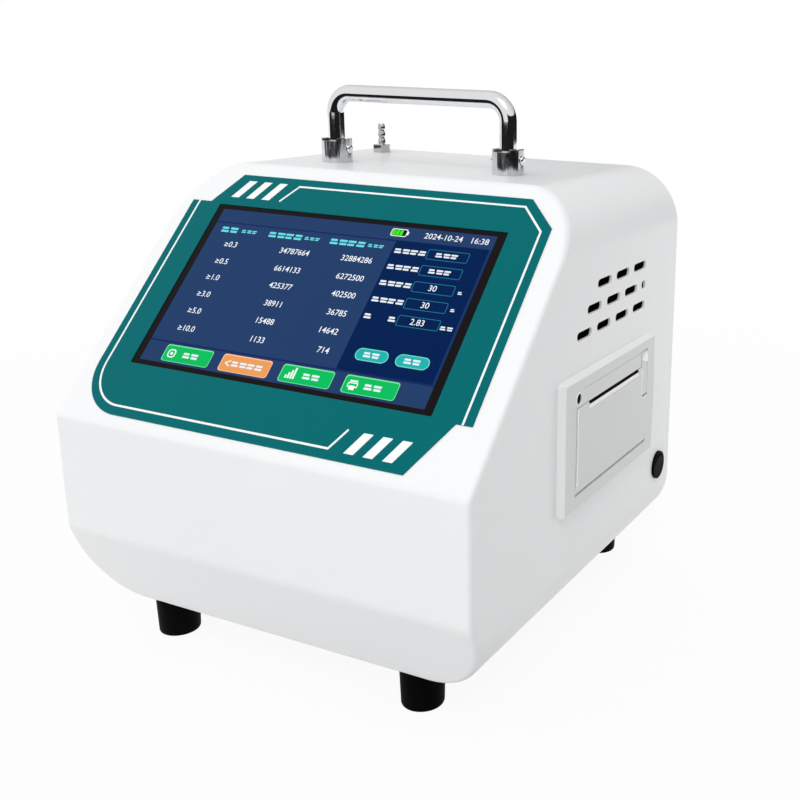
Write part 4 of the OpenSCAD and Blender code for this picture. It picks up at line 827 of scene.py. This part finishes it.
def makeBail():
    b = bailSizes
    turnHeight = b["bar"] - b["bend"]
    foot = b["pin"] - b["rod"]
    rest()
    bpy.ops.mesh.primitive_circle_add(vertices=b["sides"], radius=b["rod"], fill_type="NGON",
                                      location=(b["half"], b["depth"], foot))
    bail = bpy.context.object
    bpy.ops.object.transform_apply(location=True, rotation=True, scale=True)
    select(bail, "FACE", lambda face: True)
    bpy.ops.mesh.extrude_region_move(TRANSFORM_OT_translate={"value": (0, 0, turnHeight - foot)})
    bpy.ops.mesh.spin(steps=b["bendSteps"], angle=radians(90), axis=(0, 1, 0),
                      center=(b["half"] - b["bend"], b["depth"], turnHeight))
    bpy.ops.mesh.extrude_region_move(TRANSFORM_OT_translate={"value": (-2 * (b["half"] - b["bend"]), 0, 0)})
    bpy.ops.mesh.spin(steps=b["bendSteps"], angle=radians(90), axis=(0, 1, 0),
                      center=(-b["half"] + b["bend"], b["depth"], turnHeight))
    bpy.ops.mesh.extrude_region_move(TRANSFORM_OT_translate={"value": (0, 0, foot - turnHeight)})
    bpy.ops.mesh.select_all(action="SELECT")
    bpy.ops.mesh.remove_doubles(threshold=0.001)
    bpy.ops.mesh.normals_make_consistent(inside=False)
    bpy.ops.object.mode_set(mode="OBJECT")
    roundEdges(bail, lambda e: all(abs(v.co.z - foot) < 0.01 for v in e.verts),
               b["rod"] - b["footFlat"], b["footSteps"])
    cutOut(bail, *[addRod(b["pinBore"], side * b["half"] - b["pinReach"], side * b["half"] + b["pinReach"],
                          (b["depth"], b["pin"]), "X", 24) for side in (-1, 1)])
    return hand(bail, "gripBail", nothing, "handle", paints["chrome"], ["handle_bail"], 34)


makeBail()
hand(soften(copyNode("handle_bases"), 0.3), "gripClevises", nothing, "case",
     paints["cast"], ["handle_bases"])
hand(soften(copyNode("handle_pins"), 0.2), "gripPins", nothing, "case",
     paints["chrome"], ["handle_pins"])

# smaller outside pieces, among them painted highlights, painted shade and painted light, and softened copies of
# CAD solids
trimSizes = {
    "slotHalf": 29.2, "slotLow": 16.55, "slotMiddle": 17.25, "slotHigh": 18.18, "shadeGap": 0.05,
    "shadeDepth": (2.6, 4.15), "lowerShadeProud": 0.35, "doorProud": 0.5, "doorFlat": -18,
    "facet": [(34.7, 21.3), (41.5, 18.9), (41.5, 25.0)], "facetDepth": (3.32, 4.6), "facetLift": 0.25,
    "facetLean": (-0.16, 0.2, 1), "keySpot": (-39, 21.9), "keyHighlightRing": (2.62, 3.15), "ringDepth": (3.6, 4.4),
    "switchFlat": 0.25, "switchFrom": 1.37, "latchRound": 2.0, "latchFoot": 2.8,
    "skirtHalf": (52.5, 31.5), "skirtReach": (0.05, 3.8), "skirtLean": 0.34,
    "skirtSkin": 0.12, "skirtRound": 3, "hollowGrow": 0.01, "hollowReach": (-0.5, 4.3),
    "edgeAt": -41.1, "edgeReach": (17.2, -18.6), "edgeWidth": 0.6, "edgeDepth": (4.0, 4.98),
    "rimTop": 17.4, "rimTurn": (35.7, 3.9), "rimArc": (2.45, 188, 262, 8), "rimEnd": 41.2, "rimWidth": 0.5,
    "rimDepth": (3.9, 5.0),
}


def reshape(piece, where, wanted, action, **settings):  # moves or scales a part of a side
    turnPiece(piece, where.inverted())
    select(piece, "VERT", wanted)
    action(**settings)
    bpy.ops.object.mode_set(mode="OBJECT")
    return turnPiece(piece, where)


def leaningBlock(grow, low, high):
    t = trimSizes
    wide, tall = (half + grow for half in t["skirtHalf"])
    block = addBlock((-wide, -tall, low), (wide, tall, high))
    roundEdges(block, lambda e: runs(e, 2), t["skirtRound"] + grow, 8)
    for side in (-1, 1):  # the walls lean in as they rise
        sliceOff(block, (side * wide, 0, 0), (side, 0, t["skirtLean"]))
        sliceOff(block, (0, side * tall, 0), (0, side, t["skirtLean"]))
    return block


def makeVentFilter():  # a foam sheet behind the slots
    v = ventSizes
    (near, far), (along, above) = v["filterReach"], v["filterBeyond"]
    foam = addBlock((near, v["first"] - v["length"] / 2 - along, v["low"] - above),
                    (far, v["end"] + along, v["low"] + (v["rows"] - 1) * v["row"] + above))
    select(foam, "FACE", lambda face: face.normal.x > 0.9)
    bpy.ops.mesh.subdivide(number_cuts=v["filterCuts"])
    bpy.ops.object.mode_set(mode="OBJECT")
    select(foam, "FACE", lambda face: face.normal.x > 0.9)
    bpy.ops.mesh.inset(thickness=v["filterRim"], use_individual=True)
    bpy.ops.transform.translate(value=(-v["filterDip"], 0, 0))
    bpy.ops.object.mode_set(mode="OBJECT")
    return hand(foam, "ventFilter", nothing, "case", paints["foam"])


def makePaintedLightSkirt():  # a thin shell over the outer walls of the printer's frame, lighter than the frame's plastic: painted light on the walls
    t = trimSizes
    skirt = leaningBlock(t["skirtSkin"], *t["skirtReach"])
    cutOut(skirt, leaningBlock(t["hollowGrow"], *t["hollowReach"]))
    return hand(skirt, "bezelPaintedLight", printerSide, "case", paints["paintedWallLight"])


def makeDoorEdgeHighlight():
    # a white strip along the door's left edge: a painted highlight where light catches that edge
    t = trimSizes
    edge = ribbon([(t["edgeAt"], y) for y in t["edgeReach"]], t["edgeWidth"], *t["edgeDepth"])
    hand(soften(edge, 0.1), "doorEdgeHighlight", printerSide, "door", paints["tearBarAndHighlights"])


def makeSlotShade():
    # black strips nearly flush in the paper slot: painted shade, so the slot reads black; the lower one rides
    # the door
    t = trimSizes
    low, high = t["shadeDepth"]
    shadeStrip = addBlock((-t["slotHalf"], t["slotMiddle"] + t["shadeGap"], low),
                   (t["slotHalf"], t["slotHigh"], high))
    hand(soften(shadeStrip, 0.08), "slotShadeUpper", printerSide, "case", paints["black"])
    shadeStrip = addBlock((-t["slotHalf"], t["slotLow"], low),
                   (t["slotHalf"], t["slotMiddle"] - t["shadeGap"], high + t["lowerShadeProud"]))
    hand(soften(shadeStrip, 0.08), "slotShadeLower", printerSide, "door", paints["black"])


def makeLatchHighlight():
    # a white wedge on the top facet of the latch lever: a painted highlight
    t = trimSizes
    a, b, c = t["facet"]
    low, high = t["facetDepth"]
    facet = addBlock((a[0], b[1], low), (b[0], c[1], high))
    sliceOff(facet, (*a, 0), (a[1] - c[1], c[0] - a[0], 0))
    sliceOff(facet, (*a, 0), (b[1] - a[1], a[0] - b[0], 0))
    sliceOff(facet, (*a, low + t["facetLift"]), t["facetLean"])
    hand(soften(facet, 0.06), "latchHighlight", printerSide, "lever", paints["tearBarAndHighlights"])


def makeKeyHighlight():
    # a white ring round the feed key: a painted highlight on its rim
    t = trimSizes
    (inner, outer), (low, high) = t["keyHighlightRing"], t["ringDepth"]
    ring = addRod(outer, low, high, t["keySpot"], sides=40)
    cutOut(ring, addRod(inner, low - 0.6, high + 0.6, t["keySpot"], sides=40))
    hand(soften(ring, 0.15), "keyHighlightRing", printerSide, "case", paints["tearBarAndHighlights"])


def makeLatchOutlineHighlight():
    # a white outline along the left and lower side of the latch pocket on the door: a painted highlight
    t = trimSizes
    (x, y), radius = t["rimTurn"], t["rimArc"][0]
    path = [(x - radius, t["rimTop"]), (x - radius, y)] + arcPoints((x, y), *t["rimArc"])
    path += [(x, y - radius), (t["rimEnd"], y - radius)]
    rim = ribbon(path, t["rimWidth"], *t["rimDepth"])
    hand(soften(rim, 0.08), "latchOutlineHighlight", printerSide, "door", paints["tearBarAndHighlights"])


makeVentFilter()
makePaintedLightSkirt()
makeDoorEdgeHighlight()
makeSlotShade()
makeLatchHighlight()
makeKeyHighlight()
makeLatchOutlineHighlight()
for node, name, body, slot, paint, width in (
        ("printer_frame", "printerBezel", "case", "printer_plastic", "printer", 0.35),
        ("printer_door", "printerDoor", "door", "printer_plastic", "printer", 0.2),
        ("tear_bar", "tearLip", "door", "white_plastic", "tearBarAndHighlights", 0.15),
        ("release_lever", "doorLatch", "lever", "printer_plastic", "printer", 0.25),
        ("feed_button", "feedKey", "feed_key", "black_plastic", "black", 0.25),
        ("feet", "rubberFeet", "case", "foot_rubber", "rubber", 0.8),
        ("inlet_fitting", "inletBarb", "case", "steel_fitting", "steel", 0.15),
        ("exhaust_fitting", "exhaustBarb", "case", "steel_fitting", "steel", 0.15),
        ("switch_body", "switchBezel", "case", "black_plastic", "black", 0.4),
        ("switch_rocker", "switchRocker", "rocker", "black_plastic", "black", 0.3),
        ("rear_panel", "rearPlate", "case", "panel_paint", "case", 0.3)):
    piece = copyNode(node)
    if node == "printer_door":
        reshape(piece, printerSide, lambda v: v.co.z > 3.5 and v.co.y > trimSizes["doorFlat"],
                bpy.ops.transform.translate, value=(0, 0, trimSizes["doorProud"]))
    elif node in ("switch_body", "switch_rocker"):
        reshape(piece, switchSide, lambda v: v.co.z > trimSizes["switchFrom"], bpy.ops.transform.resize,
                value=(1, 1, trimSizes["switchFlat"]), center_override=(0, 0, trimSizes["switchFrom"]))
    elif node == "release_lever":
        foot = sideSpots["printer"][1] + trimSizes["latchFoot"]
        roundEdges(piece, lambda e: runs(e, 0) and max(v.co.z for v in e.verts) < foot,
                   trimSizes["latchRound"], 6)
    hand(soften(piece, width), name, nothing, body, paints[paint], [node])

# finishes of the CAD nodes that stay
nodePaints = {
    "zinc": ["foot_screws", "foot_nuts", "handle_nuts", "fitting_nuts", "display_nuts", "display_screws",
             "clamp_screws", "usb_screws", "socket_nut", "tray_nuts", "board_screws"],
    "chrome": ["rear_screws", "fan_screws"],
    "steel": ["door_pin", "platen_shaft", "lever_pin", "usb_socket"],
    "sheet": ["display_bracket", "printer_clamps", "chassis_tray", "battery_strap", "lcd_module"],
    "brass": ["motor_pinion", "laser_module", "board_standoffs"],
    "can": ["feed_motor", "pump_motor"],
    "head": ["print_head"],
    "anodised": ["sensor_block"],
    "board": ["display_board", "button_board", "detector_module", "main_board"],
    "hose": ["air_hoses"],
    "roller": ["platen_roller"],
    "gear": ["platen_gear"],
    "paper": ["paper_roll"],
    "pump": ["pump_head"],
    "filter": ["filter_capsule"],
    "wrap": ["battery_pack"],
    "black": ["fan_frame", "fan_rotor", "charge_socket"],
}
for paint, names in nodePaints.items():
    for name in names:
        for materialSlot in nodes[name].material_slots:
            materialSlot.material = paints[paint].material
print("finished", sum(len(names) for names in nodePaints.values()), "CAD nodes")

# the studio: bench, sky, dark screen, lamps and camera
studio = {
    "floor": 8, "fade": (0.3, 0.9), "nearWhite": 0.93, "skyFill": 0.78, "skyLean": 0.66,
    "mirrorSky": 0.86, "mirrorLean": 0.3, "ground": (0.77, 0.77, 0.77), "unlit": (0.012, 0.012, 0.012),
    "darkSide": (0.35, -0.937, 0), "darkFrom": (0.06, 0.16),
    "cardRadius": 3.0, "cardHeight": 1.05, "cardSide": (0.89, 0.45, 0), "cardSteps": 64,
    "cardFrom": -0.05, "felt": ((0.01, 0.01, 0.01), (0.02, 0.02, 0.02)),
}
lamps = {
    "keyLamp": {"spot": (0.75, -1.25, 1.8), "aim": (0, 0, 0.1), "size": 1.1, "power": 15.5},
    "sideLamp": {"spot": (-0.8, -0.8, 0.35), "aim": (-0.08, -0.1, 0.08), "size": 0.4, "power": 0.8,
                 "mirrored": False},
    "rearLamp": {"spot": (0.42, 0.4, 0.22), "aim": (0.11, 0.08, 0.12), "size": 0.2, "power": 0.4,
                 "mirrored": False},
}


def makeFloor():
    rest()
    bpy.ops.mesh.primitive_plane_add(size=studio["floor"])
    floor = bpy.context.object
    floor.name = "benchTop"
    paint = Paint("benchFinish", roughness=0.6, specular=0.1)
    paint.feed("colour", paint.mix(paint.noise(40, 2), shade(studio["ground"], 0.99), studio["ground"]))
    start, end = studio["fade"]
    reach = paint.node("ShaderNodeVectorMath", {"operation": "LENGTH"}, {0: paint.where}, 1)
    fade = paint.node("ShaderNodeMapRange", {}, {"Value": reach, "From Min": start, "From Max": end,
                                                 "To Min": studio["nearWhite"]})
    start, end = studio["darkFrom"]  # mirrors see the unlit side of the room here
    away = paint.along(paint.where, studio["darkSide"])
    unlit = paint.node("ShaderNodeMapRange", {}, {"Value": away, "From Min": start, "From Max": end})
    seen, mirrored = paint.ray("Camera"), paint.ray("Glossy")
    glow = paint.mix(mirrored * unlit, (1, 1, 1), studio["unlit"])
    light = paint.node("ShaderNodeEmission", {}, {"Color": glow, "Strength": 1.0})
    blend = paint.node("ShaderNodeMixShader", {},
                       {0: seen * fade + mirrored, 1: Wire(paint, paint.shader.outputs[0]), 2: light})
    paint.plug(paint.tree.nodes["Material Output"].inputs["Surface"], blend)
    floor.data.materials.append(paint.material)


def makeSky():
    sky = Paint("skySums")
    world = bpy.data.worlds.new("studioSky")
    bpy.context.scene.world = world
    world.use_nodes = True
    sky.tree = world.node_tree
    sky.tree.nodes.clear()
    seen, mirrored, through = (sky.ray(kind) for kind in ("Camera", "Glossy", "Transmission"))
    other = 1.0 - seen - mirrored - through
    way = sky.node("ShaderNodeTexCoord", output="Generated")
    right = sky.along(way, (1, 0, 0))
    rear = sky.node("ShaderNodeClamp", {}, {"Value": sky.along(way, (0, 1, 0))})
    soft = studio["skyFill"] * (1.0 - studio["skyLean"] * right)  # a little more light from the left
    shine = studio["mirrorSky"] - studio["mirrorLean"] * rear
    level = seen + through + shine * mirrored + soft * other
    light = sky.node("ShaderNodeBackground", {}, {"Color": (1, 1, 1, 1), "Strength": level})
    sky.node("ShaderNodeOutputWorld", {}, {"Surface": light}, None)


def addLamp(name, spot, aim, size, power, mirrored=True):
    rest()
    bpy.ops.object.light_add(type="AREA", location=spot)
    lamp = bpy.context.object
    lamp.name = name
    lamp.data.shape = "SQUARE"
    lamp.data.size = size
    lamp.data.energy = power
    lamp.rotation_euler = (Vector(aim) - Vector(spot)).to_track_quat("-Z", "Y").to_euler()
    lamp.visible_camera = False
    lamp.visible_glossy = mirrored


def makeCard():  # a dark curved screen on the unlit side, for the streaks in the chrome
    rest()
    radius, height = studio["cardRadius"], studio["cardHeight"]
    bpy.ops.mesh.primitive_circle_add(vertices=studio["cardSteps"], radius=radius)
    card = bpy.context.object
    card.name = "unlitScreen"
    away = Vector(studio["cardSide"])
    select(card, "VERT", lambda v: v.co.dot(away) < studio["cardFrom"] * radius)
    bpy.ops.mesh.delete(type="VERT")
    bpy.ops.mesh.select_all(action="SELECT")
    bpy.ops.mesh.extrude_region_move(TRANSFORM_OT_translate={"value": (0, 0, height)})
    bpy.ops.object.mode_set(mode="OBJECT")
    paint = Paint("screenFelt", roughness=0.9, specular=0.0)
    paint.feed("colour", paint.mix(paint.noise(6), *studio["felt"]))
    card.data.materials.append(paint.material)
    card.visible_camera = False
    card.visible_diffuse = False
    card.visible_shadow = False


makeFloor()
makeSky()
makeCard()
for name, lamp in lamps.items():
    addLamp(name, **lamp)

lens = {
    "spot": (306.28, -431.62, 275.11), "sensor": 36,  # in millimetres
    "turn": 23.86, "tilt": 14.945, "roll": -1.448,  # in degrees
    "frame": 800, "focal": 1077.84, "middle": (602.6, 342.3),  # in pixels of the render
}


def makeCamera():
    turn, tilt, roll = radians(lens["turn"]), radians(lens["tilt"]), radians(lens["roll"])
    back = Vector((sin(turn) * cos(tilt), -cos(turn) * cos(tilt), sin(tilt)))
    right = Vector((cos(turn), sin(turn), 0))
    up = back.cross(right)
    across = cos(roll) * right - sin(roll) * up
    rise = sin(roll) * right + cos(roll) * up
    rest()
    bpy.ops.object.camera_add()
    camera = bpy.context.object
    camera.name = "benchCamera"
    camera.data.sensor_width = lens["sensor"]
    camera.data.lens = lens["focal"] / lens["frame"] * lens["sensor"]
    camera.data.shift_x = 0.5 - lens["middle"][0] / lens["frame"]
    camera.data.shift_y = lens["middle"][1] / lens["frame"] - 0.5
    camera.data.clip_start = 0.01
    camera.data.clip_end = 50
    camera.matrix_world = (Matrix.Translation(Vector(lens["spot"]) * mm)
                           @ Matrix((across, rise, back)).transposed().to_4x4())
    bpy.context.scene.camera = camera


makeCamera()
bpy.context.scene.view_settings.view_transform = "Standard"
print("studio ready")
